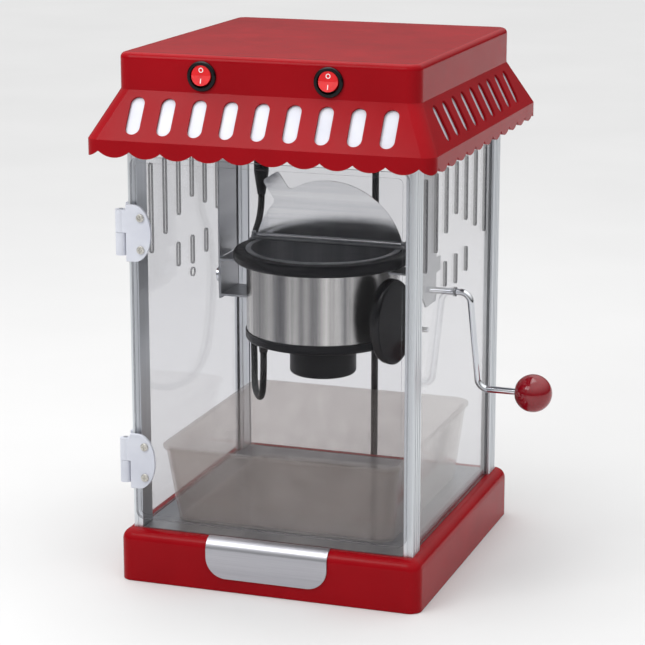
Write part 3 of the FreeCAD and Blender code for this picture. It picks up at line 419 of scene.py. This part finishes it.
@dataclass(frozen=True)
class ClearSheet(Finish):
    """Clear or faintly tinted plastic sheet: unbent view through it, glints and a light haze."""

    tint: str = "FAFAFA"
    haze_colour: str = "E8E8EC"
    haze_low: float = 0.01
    haze_high: float = 0.05
    scuff_mm: float = 14.0
    wave_mm: float = 45.0
    wave_height_mm: float = 0.03
    smooth: float = 0.02
    rough: float = 0.07
    mirror: float = 0.004
    across: Across = Across.FRONT_TO_BACK
    # Painted shade for the cut walls: its colour, and its share where a wall faces along the
    # sheet.
    painted_edge_shade_colour: str = "5E5C60"
    painted_edge_shade_share: float = 0.0

    def shader(self, tree: bpy.types.NodeTree) -> bpy.types.NodeSocket:
        """Builds the sheet: transparency, a mirror share by viewing slant, a scuffed haze, and a
        painted shade that turns the walls where the sheet is cut through a dark grey.

        Args:
            tree: the material's node tree.

        Returns:
            The mixed shader's output.
        """
        frame = add_node(tree, "ShaderNodeTexCoord")
        place = frame.outputs["Object"]
        scuff = add_node(
            tree,
            "ShaderNodeTexNoise",
            inputs={"Vector": place, "Scale": per_metre(self.scuff_mm), "Detail": 7.0},
        )
        haze = add_node(
            tree,
            "ShaderNodeMapRange",
            inputs={
                "Value": scuff.outputs["Fac"],
                "From Min": 0.3,
                "From Max": 0.75,
                "To Min": self.haze_low,
                "To Max": self.haze_high,
            },
        )
        gloss = add_node(
            tree,
            "ShaderNodeMapRange",
            inputs={
                "Value": scuff.outputs["Fac"],
                "From Min": 0.3,
                "From Max": 0.7,
                "To Min": self.smooth,
                "To Max": self.rough,
            },
        )
        wave = add_node(
            tree,
            "ShaderNodeTexNoise",
            inputs={"Vector": place, "Scale": per_metre(self.wave_mm), "Detail": 1.0},
        )
        bump = add_node(
            tree,
            "ShaderNodeBump",
            inputs={
                "Height": wave.outputs["Fac"],
                "Strength": 1.0,
                "Distance": self.wave_height_mm * MM,
            },
        )
        slant = add_node(tree, "ShaderNodeLayerWeight", inputs={"Blend": 0.5})
        steep = add_node(
            tree, "ShaderNodeMath", {"operation": "POWER"}, {0: slant.outputs["Facing"], 1: 5.0}
        )
        share = add_node(
            tree,
            "ShaderNodeMapRange",
            inputs={"Value": steep.outputs[0], "To Min": self.mirror, "To Max": 0.9},
        )
        through = add_node(
            tree, "ShaderNodeBsdfTransparent", inputs={"Color": linear(self.tint)}
        )
        glint = add_node(
            tree,
            "ShaderNodeBsdfGlossy",
            inputs={
                "Color": linear("FFFFFF"),
                "Roughness": gloss.outputs[0],
                "Normal": bump.outputs["Normal"],
            },
        )
        pane = add_node(
            tree,
            "ShaderNodeMixShader",
            inputs={0: share.outputs[0], 1: through.outputs[0], 2: glint.outputs[0]},
        )
        veil = add_node(
            tree,
            "ShaderNodeBsdfPrincipled",
            inputs={
                "Base Color": linear(self.haze_colour),
                "Roughness": gloss.outputs[0],
                "Normal": bump.outputs["Normal"],
            },
        )
        sheet = add_node(
            tree,
            "ShaderNodeMixShader",
            inputs={0: haze.outputs[0], 1: pane.outputs[0], 2: veil.outputs[0]},
        )
        # Painted shade: the walls where the sheet is cut through, which face along the sheet, are
        # mixed towards an opaque dark grey in place of clear plastic.
        faced = add_node(
            tree,
            "ShaderNodeVectorMath",
            {"operation": "DOT_PRODUCT"},
            {0: frame.outputs["Normal"], 1: self.across.value},
        )
        flat = add_node(
            tree, "ShaderNodeMath", {"operation": "ABSOLUTE"}, {0: faced.outputs["Value"]}
        )
        cut = add_node(
            tree,
            "ShaderNodeMapRange",
            inputs={
                "Value": flat.outputs[0],
                "From Min": 0.4,
                "From Max": 0.8,
                "To Min": self.painted_edge_shade_share,
                "To Max": 0.0,
            },
        )
        painted_wall_shade = add_node(
            tree,
            "ShaderNodeBsdfPrincipled",
            inputs={"Base Color": linear(self.painted_edge_shade_colour), "Roughness": gloss.outputs[0]},
        )
        whole = add_node(
            tree,
            "ShaderNodeMixShader",
            inputs={0: cut.outputs[0], 1: sheet.outputs[0], 2: painted_wall_shade.outputs["BSDF"]},
        )
        return whole.outputs[0]


# Injection-moulded ABS from a polished tool. It gives the eye a deep red with clear, slightly
# wavy reflections. The orange peel of about 1 mm is drawn at 3 mm so that it shows.
RED_ABS = MouldedSurface(
    "moulded_red_abs", colour="990B16", shade="8E0913", drift_mm=60.0, gloss=0.14, dull=0.24,
    skin_mm=3.0, skin_height_mm=0.006, ior=1.54, coat=0.0, specular=0.07,
)
# Moulded phenolic resin: a deeper red ball, smooth and glossy.
RED_PHENOLIC = MouldedSurface(
    "moulded_red_phenolic", colour="960F1E", shade="820B18", drift_mm=18.0, gloss=0.10,
    dull=0.18, skin_mm=2.0, skin_height_mm=0.004, ior=1.6, coat=0.0, specular=0.5,
)
# Moulded nylon with a bright pigment, for the switch rockers.
RED_NYLON = MouldedSurface(
    "moulded_bright_red_nylon", colour="E0121A", shade="CC0E16", drift_mm=8.0, gloss=0.16,
    dull=0.26, skin_mm=0.8, skin_height_mm=0.003, ior=1.53, coat=0.0, specular=0.4,
)
# White moulded nylon: cool white with a soft sheen and a fine spark-eroded texture, drawn at
# 1 mm, coarser than the real 0.2 mm.
WHITE_NYLON = MouldedSurface(
    "moulded_white_nylon", colour="D6D9E2", shade="C9CCD7", drift_mm=25.0, gloss=0.28, dull=0.42,
    skin_mm=1.0, skin_height_mm=0.008, ior=1.53,
)
# Black moulded phenolic with a satin skin: it looks dark grey where light grazes it.
BLACK_SATIN = MouldedSurface(
    "moulded_black_phenolic", colour="131318", shade="0D0D11", drift_mm=22.0, gloss=0.32,
    dull=0.46, skin_mm=0.9, skin_height_mm=0.012, ior=1.6, coat=0.0, specular=0.12,
)
# Black moulded phenolic from a polished tool, for the grip: crisp highlights on near black.
BLACK_GLOSS = MouldedSurface(
    "polished_black_phenolic", colour="0A0A0E", shade="07070A", drift_mm=20.0, gloss=0.1,
    dull=0.17, skin_mm=2.0, skin_height_mm=0.004, ior=1.6, coat=0.0, specular=0.2,
)
# Extruded PVC lead cover: matt black with a faint drawn skin.
BLACK_PVC = MouldedSurface(
    "extruded_black_pvc", colour="1B1B1D", shade="131315", drift_mm=15.0, gloss=0.42, dull=0.58,
    skin_mm=1.2, skin_height_mm=0.02, ior=1.53,
)
# Moulded rubber of the feet: dull, dark grey and slightly dusty.
FOOT_RUBBER = MouldedSurface(
    "moulded_grey_rubber", colour="2E2E30", shade="232325", drift_mm=12.0, gloss=0.6, dull=0.8,
    skin_mm=0.7, skin_height_mm=0.02, ior=1.52,
)
# Pressed and glazed porcelain of the lamp's holder: warm white under a thin clear glaze.
PORCELAIN = MouldedSurface(
    "glazed_porcelain", colour="F1EEE6", shade="E6E2D8", drift_mm=14.0, gloss=0.08, dull=0.16,
    skin_mm=3.0, skin_height_mm=0.01, ior=1.5, coat=0.6,
)
# Acid-etched bulb glass: milky white and softly shining.
ETCHED_GLASS = MouldedSurface(
    "etched_bulb_glass", colour="F7F4EC", shade="EFEAE0", drift_mm=10.0, gloss=0.3, dull=0.4,
    skin_mm=0.6, skin_height_mm=0.004, ior=1.5,
)
# White pad-printed legend ink on the rockers, slightly raised and matt.
LEGEND_INK = MouldedSurface(
    "printed_white_ink", colour="F6F6F6", shade="EEEEEE", drift_mm=2.0, gloss=0.45, dull=0.6,
    skin_mm=0.4, skin_height_mm=0.004, ior=1.5,
)
# Extruded, satin-anodised aluminium: pale grey with die lines along the post. The lines of
# about 0.1 mm are drawn at 0.7 mm.
POST_ALUMINIUM = BrushedMetal(
    "anodised_extruded_aluminium", colour="E6E9EC", shade="CDD1D6", grain=Grain.UPRIGHT,
    line_mm=0.7, line_depth_mm=0.004, band_mm=24.0, band_grain=Grain.UPRIGHT, smooth=0.3,
    rough=0.44,
)
# Brushed and anodised aluminium sheet with lines from left to right, drawn at 0.8 mm.
PLATE_ALUMINIUM = BrushedMetal(
    "brushed_anodised_aluminium", colour="CBCBD0", shade="A9A9B0", grain=Grain.LEVEL,
    line_mm=0.8, line_depth_mm=0.004, band_mm=50.0, band_grain=Grain.LEVEL, smooth=0.3,
    rough=0.42, anisotropy=0.3,
)
# Cold-rolled steel sheet with a bright zinc coat: even grey with faint rolling marks.
ZINC_STEEL = BrushedMetal(
    "zinc_plated_steel_sheet", colour="B4B5B8", shade="94969B", grain=Grain.DEPTHWISE,
    line_mm=1.2, line_depth_mm=0.006, band_mm=35.0, band_grain=Grain.DEPTHWISE, smooth=0.28,
    rough=0.42,
)
# Stainless steel brushed round the kettle. The rings of fine lines pull each highlight into an
# upright streak. Upright light and dark streaks are also painted into its colour, from the pale
# colour to the dark shade, as painted reflections. The lines of about 0.15 mm are drawn at 0.5
# mm.
KETTLE_STEEL = BrushedMetal(
    "brushed_stainless_steel_painted_streaks", colour="E4E2DE", shade="4A4A50", grain=Grain.LEVEL, line_mm=0.5,
    line_depth_mm=0.0006, band_mm=20.0, band_grain=Grain.UPRIGHT, smooth=0.2, rough=0.25,
    anisotropy=0.6, line_share=0.04,
)
# Spun and satin-finished aluminium of the pot and stirrer, with turning rings of 0.6 mm.
SPUN_ALUMINIUM = BrushedMetal(
    "spun_satin_aluminium", colour="D8D9DB", shade="B2B4B8", grain=Grain.LEVEL, line_mm=0.6,
    line_depth_mm=0.008, band_mm=20.0, band_grain=Grain.UPRIGHT, smooth=0.32, rough=0.48,
)
# Mirror-rolled stainless steel of the lid: bright, with a slow waviness of about 18 mm.
MIRROR_STEEL = BrushedMetal(
    "polished_stainless_steel", colour="F4F4F4", shade="D4D5D7", grain=Grain.LEVEL, line_mm=5.0,
    line_depth_mm=0.01, band_mm=18.0, band_grain=Grain.LEVEL, smooth=0.08, rough=0.18,
)
# Polished chromium plate of the crank and pins: mirror bright, cool grey.
CHROME = BrushedMetal(
    "polished_chrome_plate", colour="E6E8EC", shade="CFD2D8", grain=Grain.UPRIGHT, line_mm=4.0,
    line_depth_mm=0.002, band_mm=14.0, band_grain=Grain.UPRIGHT, smooth=0.05, rough=0.12,
)
# Nickel-plated screws with a tumbled, softly shining surface.
NICKEL = BrushedMetal(
    "tumbled_nickel_plate", colour="DAD8D2", shade="B9B6AF", grain=Grain.DEPTHWISE, line_mm=0.9,
    line_depth_mm=0.006, band_mm=4.0, band_grain=Grain.DEPTHWISE, smooth=0.22, rough=0.36,
)
# Galvanised steel case of the small motor: grey and dull, with flow marks round the case.
MOTOR_STEEL = BrushedMetal(
    "galvanised_motor_case", colour="B9BCC0", shade="9A9DA2", grain=Grain.LEVEL, line_mm=1.4,
    line_depth_mm=0.01, band_mm=9.0, band_grain=Grain.LEVEL, smooth=0.35, rough=0.5,
)
# Extruded clear acrylic sheet. Only its glints, its edge painted a faint grey as painted shade,
# and light scuffs show.
CLEAR_ACRYLIC = ClearSheet(
    "extruded_clear_acrylic", tint="F6F6F7", haze_colour="E4E2EA", haze_low=0.0005,
    haze_high=0.006, painted_edge_shade_share=0.45,
)
# The same sheet where slots are cut through it: their walls are painted a dark glossy grey as
# painted shade, so they read as dark outlines.
SLOTTED_ACRYLIC = ClearSheet(
    "slotted_clear_acrylic", tint="F6F6F7", haze_colour="E4E2EA", haze_low=0.0005,
    haze_high=0.006, across=Across.SIDE_TO_SIDE, painted_edge_shade_colour="3A383C", painted_edge_shade_share=0.75,
)
# Moulded smoky polystyrene of the tray: greyer and more milky than the windows.
SMOKY_STYRENE = ClearSheet(
    "moulded_smoky_polystyrene", tint="F1EEEC", haze_colour="E2DCD8", haze_low=0.09,
    haze_high=0.17, scuff_mm=20.0, wave_mm=30.0, wave_height_mm=0.05, smooth=0.06, rough=0.14,
)
# Smooth seamless paper: nearly white, with a faint tooth.
PALE_PAPER = MouldedSurface(
    "matt_white_paper", colour="DCDCDC", shade="D9D9D9", drift_mm=300.0, gloss=0.85, dull=0.95,
    skin_mm=3.0, skin_height_mm=0.01, ior=1.45, coat=0.0, specular=0.2,
)


def paint(finish: Finish, *pieces: bpy.types.Object | str) -> None:
    """Gives CAD nodes or new pieces a finish in every material slot.

    Args:
        finish: the finish to give.
        *pieces: CAD node names or new objects.
    """
    material = finish.material()
    for piece in pieces:
        target = frame["nodes"][piece] if isinstance(piece, str) else piece
        if not target.data.materials:
            target.data.materials.append(material)
        for index in range(len(target.data.materials)):
            target.data.materials[index] = material
        target["dressed"] = True


def mesh_object(
    name: str, vertices: Sequence[Point], faces: Sequence[Sequence[int]], smooth: bool = True
) -> bpy.types.Object:
    """Makes a mesh object at the origin.

    Args:
        name: the piece's name.
        vertices: points in the row frame, in metres.
        faces: vertex numbers of each face.
        smooth: True to shade the faces as one smooth surface.

    Returns:
        The linked object.
    """
    mesh = bpy.data.meshes.new(name)
    mesh.from_pydata([tuple(v) for v in vertices], [], [tuple(f) for f in faces])
    mesh.validate()
    mesh.polygons.foreach_set("use_smooth", [smooth] * len(mesh.polygons))
    made = bpy.data.objects.new(name, mesh)
    bpy.context.scene.collection.objects.link(made)
    return made


def route_spline(name: str, points: Sequence[Point]) -> bpy.types.Object:
    """Makes a curve of one smooth open spline steered by the route's points.

    Args:
        name: the curve's name.
        points: the route in the row frame, in metres.

    Returns:
        The linked curve object, with no thickness yet.
    """
    curve = bpy.data.curves.new(name, "CURVE")
    curve.dimensions = "3D"
    curve.resolution_u = SPLINE_STEPS
    spline = curve.splines.new("NURBS")
    spline.points.add(len(points) - 1)
    for control, point in zip(spline.points, points):
        control.co = (*point, 1.0)
    spline.order_u = 3
    spline.use_endpoint_u = True
    made = bpy.data.objects.new(name, curve)
    bpy.context.scene.collection.objects.link(made)
    return made


def spline_points(curve_object: bpy.types.Object) -> list[Vector]:
    """Reads the line that a curve with no thickness draws, in order.

    Args:
        curve_object: the curve, with no bevel.

    Returns:
        Points along the spline, in metres.
    """
    bpy.context.view_layer.update()
    graph = bpy.context.evaluated_depsgraph_get()
    line = bpy.data.meshes.new_from_object(curve_object.evaluated_get(graph))
    points = [v.co.copy() for v in line.vertices]
    bpy.data.meshes.remove(line)
    return points


def line_length(points: Sequence[Vector]) -> float:
    """Adds up the distances between neighbouring points."""
    return sum((b - a).length for a, b in zip(points, points[1:]))


@dataclass(frozen=True)
class SoftBox:
    """Square area light: centre, aimed point and side in metres, power in watts."""

    name: str
    place: Point
    aim: Point
    size: float
    power: float

    def hang(self) -> None:
        """Adds the light to the scene."""
        lamp = bpy.data.lights.new(self.name, "AREA")
        lamp.shape = "SQUARE"
        lamp.size = self.size
        lamp.energy = self.power
        holder = bpy.data.objects.new(self.name, lamp)
        holder.location = self.place
        toward = Vector(self.aim) - Vector(self.place)
        holder.rotation_euler = toward.to_track_quat("-Z", "Y").to_euler()
        bpy.context.scene.collection.objects.link(holder)


@dataclass
class Studio:
    """Camera, pale floor, soft lights and the white surround."""

    azimuth: float = 19.06
    elevation: float = 13.84
    distance: float = 1.9475
    target: Point = (0.00078, 0.0, 0.19481)
    lens: float = 129.95
    clip: tuple[float, float] = (0.05, 60.0)
    floor_half: float = 9.0
    floor_drop: float = 0.0004
    glow: float = 1.45
    horizon_glow: float = 0.02
    glow_rises: tuple[float, float] = (0.05, 0.8)
    boxes: tuple[SoftBox, ...] = (
        SoftBox("overhead_box", (-0.1, 0.1, 1.5), (0.0, 0.0, 0.3), 0.9, 6.0),
        SoftBox("front_box", (-0.3, -0.66, 0.85), (0.0, -0.13, 0.4), 0.4, 2.6),
    )

    def make_camera(self) -> None:
        """Places the camera on its orbit round the machine."""
        turn, rise = math.radians(self.azimuth), math.radians(self.elevation)
        back = Vector(
            (math.sin(turn) * math.cos(rise), -math.cos(turn) * math.cos(rise), math.sin(rise))
        )
        lens = bpy.data.cameras.new("camera")
        lens.lens = self.lens
        lens.clip_start, lens.clip_end = self.clip
        camera = bpy.data.objects.new("camera", lens)
        camera.location = Vector(self.target) + back * self.distance
        camera.rotation_euler = (-back).to_track_quat("-Z", "Y").to_euler()
        bpy.context.scene.collection.objects.link(camera)
        bpy.context.scene.camera = camera

    def make_floor(self) -> None:
        """Lays the pale floor under the machine."""
        h, z = self.floor_half, -self.floor_drop
        floor = mesh_object(
            "floor", [(-h, -h, z), (h, -h, z), (h, h, z), (-h, h, z)], [(0, 1, 2, 3)], False
        )
        paint(PALE_PAPER, floor)
        floor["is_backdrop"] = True

    def make_surround(self) -> None:
        """Fills the surround with white that is softer near the horizon."""
        world = bpy.data.worlds.new("surround")
        world.use_nodes = True
        tree = world.node_tree
        tree.nodes.clear()
        ray = add_node(tree, "ShaderNodeTexCoord").outputs["Generated"]
        parts = add_node(tree, "ShaderNodeSeparateXYZ", inputs={"Vector": ray})
        rise = add_node(
            tree,
            "ShaderNodeMapRange",
            inputs={
                "Value": parts.outputs["Z"],
                "From Min": self.glow_rises[0],
                "From Max": self.glow_rises[1],
                "To Min": self.horizon_glow,
                "To Max": 1.0,
            },
        )
        glow = add_node(
            tree, "ShaderNodeBackground", inputs={"Color": rise.outputs[0], "Strength": self.glow}
        )
        add_node(tree, "ShaderNodeOutputWorld", inputs={"Surface": glow.outputs[0]})
        bpy.context.scene.world = world

    def build(self) -> None:
        """Makes the whole studio."""
        scene = bpy.context.scene
        scene.view_settings.view_transform = "Standard"
        scene.cycles.transparent_max_bounces = CLEAR_BOUNCES
        self.make_camera()
        self.make_floor()
        self.make_surround()
        for box in self.boxes:
            box.hang()


@dataclass
class MainsLead:
    """Mains lead: down behind the cabinet, a neat tied coil on the floor, then the plug."""

    diameter: float = 0.0062
    exit: Point = (0.001, 0.143, 0.338)
    drop: tuple[Point, ...] = (
        (0.001, 0.143, 0.338),
        (0.001, 0.143, 0.054),
        (0.001, 0.143, 0.0324),
        (-0.0097, 0.1436, 0.0139),
        (-0.0272, 0.1452, 0.0039),
        (-0.051, 0.1469, 0.0039),
    )
    coil_centre: tuple[float, float] = (-0.066, 0.181)
    outer: float = 0.0345
    inner: float = 0.0281
    low: float = 0.0039
    high: float = 0.0102
    points_per_turn: int = 18
    turns: float = 3.54
    tail: tuple[Point, ...] = (
        (-0.0505, 0.20785, 0.0095),
        (-0.0400, 0.2018, 0.0090),
        (-0.0332, 0.19785, 0.0090),
    )
    tie_turn: float = 150.0
    tie_width: float = 0.0035
    tie_thickness: float = 0.0006
    tie_corner_steps: int = 6
    rim_steps: int = 5

    def lane(self, turn: float) -> tuple[float, float]:
        """Gives the radius and height of the winding after a number of turns.

        The four lanes fill one after another: outer low, inner low, inner high, outer high.
        The last quarter or so of each turn moves over to the next lane, the highest first.

        Args:
            turn: turns wound so far.

        Returns:
            The radius from the coil's centre and the height over the floor, in metres.
        """
        stops = (
            (0.0, self.outer, self.low),
            (0.85, self.outer, self.low),
            (1.0, self.inner, self.low),
            (1.7, self.inner, self.low),
            (1.85, self.inner, self.high),
            (2.58, self.inner, self.high),
            (2.7, self.outer, self.high),
            (4.0, self.outer, self.high),
        )
        for (t0, r0, z0), (t1, r1, z1) in zip(stops, stops[1:]):
            if turn <= t1:
                share = (turn - t0) / (t1 - t0)
                return r0 + (r1 - r0) * share, z0 + (z1 - z0) * share
        return self.outer, self.high

    def route(self) -> list[Point]:
        """Lists the whole route from the hood to the plug, in metres."""
        points = list(self.drop)
        steps = round(self.turns * self.points_per_turn)
        for step in range(1, steps + 1):
            turn = step / self.points_per_turn
            radius, height = self.lane(turn)
            angle = math.radians(270.0 - 360.0 * turn)
            points.append(
                (
                    self.coil_centre[0] + radius * math.cos(angle),
                    self.coil_centre[1] + radius * math.sin(angle),
                    height,
                )
            )
        return points + list(self.tail)

    def make_tie(self) -> bpy.types.Object:
        """Makes the flat strap that holds the turns together.

        Returns:
            The strap, a closed band round the bundle.
        """
        outer_reach = self.diameter / 2 + self.tie_thickness
        inner_reach = outer_reach - self.tie_thickness * 0.9  # pressed a little into the cover
        outline = []
        for cx, cz, start in (
            (self.outer, self.high, 0.0),
            (self.inner, self.high, 90.0),
            (self.inner, self.low, 180.0),
            (self.outer, self.low, 270.0),
        ):
            for step in range(self.tie_corner_steps + 1):
                angle = math.radians(start + 90.0 * step / self.tie_corner_steps)
                outline.append((cx, cz, math.cos(angle), math.sin(angle)))
        turn = math.radians(self.tie_turn)
        out = Vector((math.cos(turn), math.sin(turn), 0.0))
        side = Vector((-math.sin(turn), math.cos(turn), 0.0))
        centre = Vector((*self.coil_centre, 0.0))
        vertices, faces = [], []
        for cx, cz, ux, uz in outline:
            for reach, shift in (
                (inner_reach, -1),
                (outer_reach, -1),
                (outer_reach, 1),
                (inner_reach, 1),
            ):
                place = centre + out * (cx + ux * reach) + side * (shift * self.tie_width / 2)
                vertices.append((place.x, place.y, cz + uz * reach))
        count = len(outline)
        for ring in range(count):
            nxt = (ring + 1) % count
            for edge in range(4):
                after = (edge + 1) % 4
                faces.append(
                    (ring * 4 + edge, ring * 4 + after, nxt * 4 + after, nxt * 4 + edge)
                )
        return mesh_object("coil_tie", vertices, faces, False)

    def build(self) -> bpy.types.Object:
        """Returns:
            The lead.
        """
        lead = route_spline("mains_cord", self.route())
        length = line_length(spline_points(lead))
        lead.data.bevel_depth = self.diameter / 2
        lead.data.bevel_resolution = self.rim_steps
        lead.data.use_fill_caps = True
        tie = self.make_tie()
        paint(BLACK_PVC, lead, tie, "mains_plug", "mains_gland")
        for piece in (lead, tie):
            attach(piece, "cabinet")
        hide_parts("mains_lead", "mains_coil")
        LOG.info("mains lead: %.3f m long", length)
        return lead


@dataclass
class KettleLead:
    """Lead that hangs from the ceiling's socket and feeds the tipping kettle."""

    diameter: float = 0.0058
    points: tuple[Point, ...] = (
        (-0.086, 0.088, 0.283),
        (-0.086, 0.088, 0.266),
        (-0.095, 0.089, 0.242),
        (-0.097, 0.090, 0.208),
        (-0.095, 0.089, 0.171),
        (-0.092, 0.084, 0.1334),
        (-0.084, 0.062, 0.1134),
        (-0.066, 0.030, 0.1134),
        (-0.0565, 0.012, 0.1334),
        (-0.0565, 0.012, 0.1615),
    )
    sides: int = 20
    bend_start: Point = (-0.090, 0.084, 0.15)
    bend_end: Point = (-0.060, 0.016, 0.15)

    def tube(self, line: Sequence[Vector]) -> bpy.types.Object:
        """Sweeps a round tube along a line.

        Args:
            line: the points that the tube follows, in metres.

        Returns:
            The tube, closed at both ends.
        """
        vertices, faces = [], []
        normal = Vector((1.0, 0.0, 0.0))
        for index, point in enumerate(line):
            before, after = line[max(index - 1, 0)], line[min(index + 1, len(line) - 1)]
            along = (after - before).normalized()
            normal = (normal - along * normal.dot(along)).normalized()
            other = along.cross(normal)
            for step in range(self.sides):
                angle = 2 * math.pi * step / self.sides
                spoke = normal * math.cos(angle) + other * math.sin(angle)
                vertices.append(tuple(point + spoke * (self.diameter / 2)))
        for ring in range(len(line) - 1):
            for step in range(self.sides):
                nxt = (step + 1) % self.sides
                low, high = ring * self.sides, (ring + 1) * self.sides
                faces.append((low + step, low + nxt, high + nxt, high + step))
        last = (len(line) - 1) * self.sides
        faces.append(tuple(reversed(range(self.sides))))
        faces.append(tuple(range(last, last + self.sides)))
        return mesh_object("kettle_cord", vertices, faces)

    def build(self) -> bpy.types.Object:
        """Returns:
            The lead.
        """
        guide = route_spline("kettle_cord_guide", self.points)
        line = spline_points(guide)
        bpy.data.objects.remove(guide)
        lead = self.tube(line)
        paint(BLACK_PVC, lead, "kettle_lead_gland")
        paint(BLACK_SATIN, "kettle_lead_plug")
        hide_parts("kettle_lead")
        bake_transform(lead)
        return lead


@dataclass
class Switches:
    """The two round rockers in their bezels, with a printed ring and bar on each."""

    pivot_y: float = -0.1285
    height: float = 0.4163
    tilt: float = -7.0
    face_y: float = -0.1353
    dish_depth: float = 0.0010
    dish_half: float = 0.0080
    mark_offset: float = 0.0042
    ring_outer: float = 0.0019
    ring_inner: float = 0.0013
    bar_half_width: float = 0.00034
    bar_half_height: float = 0.0019
    raise_by: float = 0.00012
    ring_steps: int = 40
    bar_steps: int = 32

    def mark(self, name: str, x: float, outline_pairs: Sequence, upper: bool) -> bpy.types.Object:
        """Makes one printed mark that lies on a half of the dished rocker.

        Args:
            name: the mark's name.
            x: the rocker's centre.
            outline_pairs: outer and inner (x, z) points round the mark, in metres.
            upper: True for the upper half of the rocker.

        Returns:
            The mark, a thin closed strip.
        """
        lean = self.dish_depth / self.dish_half
        sign = 1.0 if upper else -1.0
        turn = Matrix.Rotation(math.radians(self.tilt), 4, "X")
        pivot = Vector((x, self.pivot_y, self.height))
        vertices, faces = [], []
        for pair in outline_pairs:
            for px, pz in pair:
                dz = sign * self.mark_offset + pz
                surface = self.face_y + self.dish_depth - lean * abs(dz)
                for y in (surface + self.raise_by, surface - self.raise_by):
                    place = Vector((px, y - self.pivot_y, dz))
                    vertices.append(tuple(pivot + turn @ place))
        count = len(outline_pairs)
        for index in range(count):
            here, nxt = index * 4, (index + 1) % count * 4
            for a, b in ((0, 1), (1, 3), (3, 2), (2, 0)):
                faces.append((here + a, here + b, nxt + b, nxt + a))
        return mesh_object(name, vertices, faces, False)

    def ring_outline(self) -> list:
        """Lists outer and inner points of the open ring."""
        pairs = []
        for step in range(self.ring_steps):
            angle = 2 * math.pi * step / self.ring_steps
            c, s = math.cos(angle), math.sin(angle)
            outer = (c * self.ring_outer, s * self.ring_outer)
            inner = (c * self.ring_inner, s * self.ring_inner)
            pairs.append((outer, inner))
        return pairs

    def bar_outline(self) -> list:
        """Lists outer and inner points of the round-ended bar."""
        pairs = []
        straight = self.bar_half_height - self.bar_half_width
        for step in range(self.bar_steps):
            angle = 2 * math.pi * (step + 0.5) / self.bar_steps
            c, s = math.cos(angle), math.sin(angle)
            z = math.copysign(straight, s)
            pairs.append(((c * self.bar_half_width, z + s * self.bar_half_width), (0.0, z)))
        return pairs

    def build(self) -> None:
        """Dresses the switches and prints their marks."""
        paint(RED_NYLON, "lamp_rocker", "kettle_rocker")
        paint(BLACK_GLOSS, "switch_bezel_left", "switch_bezel_right")
        for body, node in (("lamp_switch", "lamp_rocker"), ("kettle_switch", "kettle_rocker")):
            low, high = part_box(node)
            x = (low[0] + high[0]) / 2
            off = self.mark(f"{body}_off_mark", x, self.ring_outline(), True)
            on = self.mark(f"{body}_on_mark", x, self.bar_outline(), False)
            for piece in (off, on):
                paint(LEGEND_INK, piece)
                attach(piece, body)
            LOG.info("%s: ring and bar printed", body)


@dataclass
class Base:
    """Red base with its front plate, cover, feet and steel floor."""

    def build(self) -> None:
        """Dresses the base."""
        paint(RED_ABS, "base_shell")
        paint(PLATE_ALUMINIUM, "front_plate")
        paint(ZINC_STEEL, "base_cover", "floor_plate")
        paint(FOOT_RUBBER, "base_feet")
        paint(NICKEL, "base_cover_screws")
        LOG.info("base dressed")


@dataclass
class Cabinet:
    """Posts, clear sheets, ceiling pan, hangers and lamp."""

    def build(self) -> None:
        """Dresses the cabinet."""
        for place in ("front", "rear"):
            paint(POST_ALUMINIUM, f"post_{place}_left", f"post_{place}_right")
        paint(CLEAR_ACRYLIC, "rear_panel")
        paint(SLOTTED_ACRYLIC, "left_window", "right_window")
        paint(ZINC_STEEL, "ceiling_pan", "hanger_left", "hanger_right")
        paint(PORCELAIN, "lamp_holder")
        paint(ETCHED_GLASS, "lamp_bulb")
        paint(NICKEL, "post_screws", "hanger_screws")
        LOG.info("cabinet dressed")


@dataclass
class Hood:
    """Red scalloped hood with the white liner behind its slots."""

    def build(self) -> None:
        """Dresses the hood."""
        paint(RED_ABS, "hood_shell")
        paint(WHITE_NYLON, "hood_liner")
        paint(NICKEL, "hood_screws")
        LOG.info("hood dressed")


@dataclass
class Door:
    """Clear door on two white hinges."""

    def build(self) -> None:
        """Dresses the door and its hinges."""
        paint(CLEAR_ACRYLIC, "door_panel")
        for height in ("upper", "lower"):
            paint(WHITE_NYLON, f"{height}_hinge_door_leaf", f"{height}_hinge_post_leaf")
        paint(CHROME, "hinge_pins")
        paint(NICKEL, "hinge_door_screws", "hinge_post_screws")
        LOG.info("door dressed")


@dataclass
class Kettle:
    """Kettle with its pot, rim, lid, grip, motor, stirrer, pivots and crank."""

    def build(self) -> None:
        """Dresses the kettle."""
        paint(KETTLE_STEEL, "kettle_shell")
        paint(SPUN_ALUMINIUM, "inner_pot", "stirrer", "heating_element")
        paint(BLACK_SATIN, "kettle_rim", "kettle_base_ring", "motor_housing")
        paint(BLACK_GLOSS, "kettle_handle")
        paint(MIRROR_STEEL, "lid_flap")
        paint(ZINC_STEEL, "lid_hinge_bar", "left_pivot_bracket", "right_pivot_bracket")
        paint(CHROME, "left_pivot_pin", "stop_pin", "crank_rod")
        paint(RED_PHENOLIC, "crank_knob")
        paint(MOTOR_STEEL, "stir_motor")
        LOG.info("kettle dressed")


@dataclass
class Tray:
    """Tapered tray under the kettle."""

    def build(self) -> None:
        """Dresses the tray."""
        paint(SMOKY_STYRENE, "popcorn_tray")
        LOG.info("tray dressed")


def main() -> None:
    """Builds the studio, then every sub-assembly in order."""
    logging.basicConfig(level=logging.INFO, format="%(name)s: %(message)s")
    cad_box = [v.copy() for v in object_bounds()]
    Studio().build()
    MainsLead().build()
    KettleLead().build()
    for assembly in (Base(), Cabinet(), Hood(), Switches(), Door(), Kettle(), Tray()):
        assembly.build()
    plain = sorted(n for n, o in frame["nodes"].items() if not o.get("dressed"))
    LOG.info("nodes with no finish, all replaced: %s", plain)


if __name__ == "__main__":
    main()
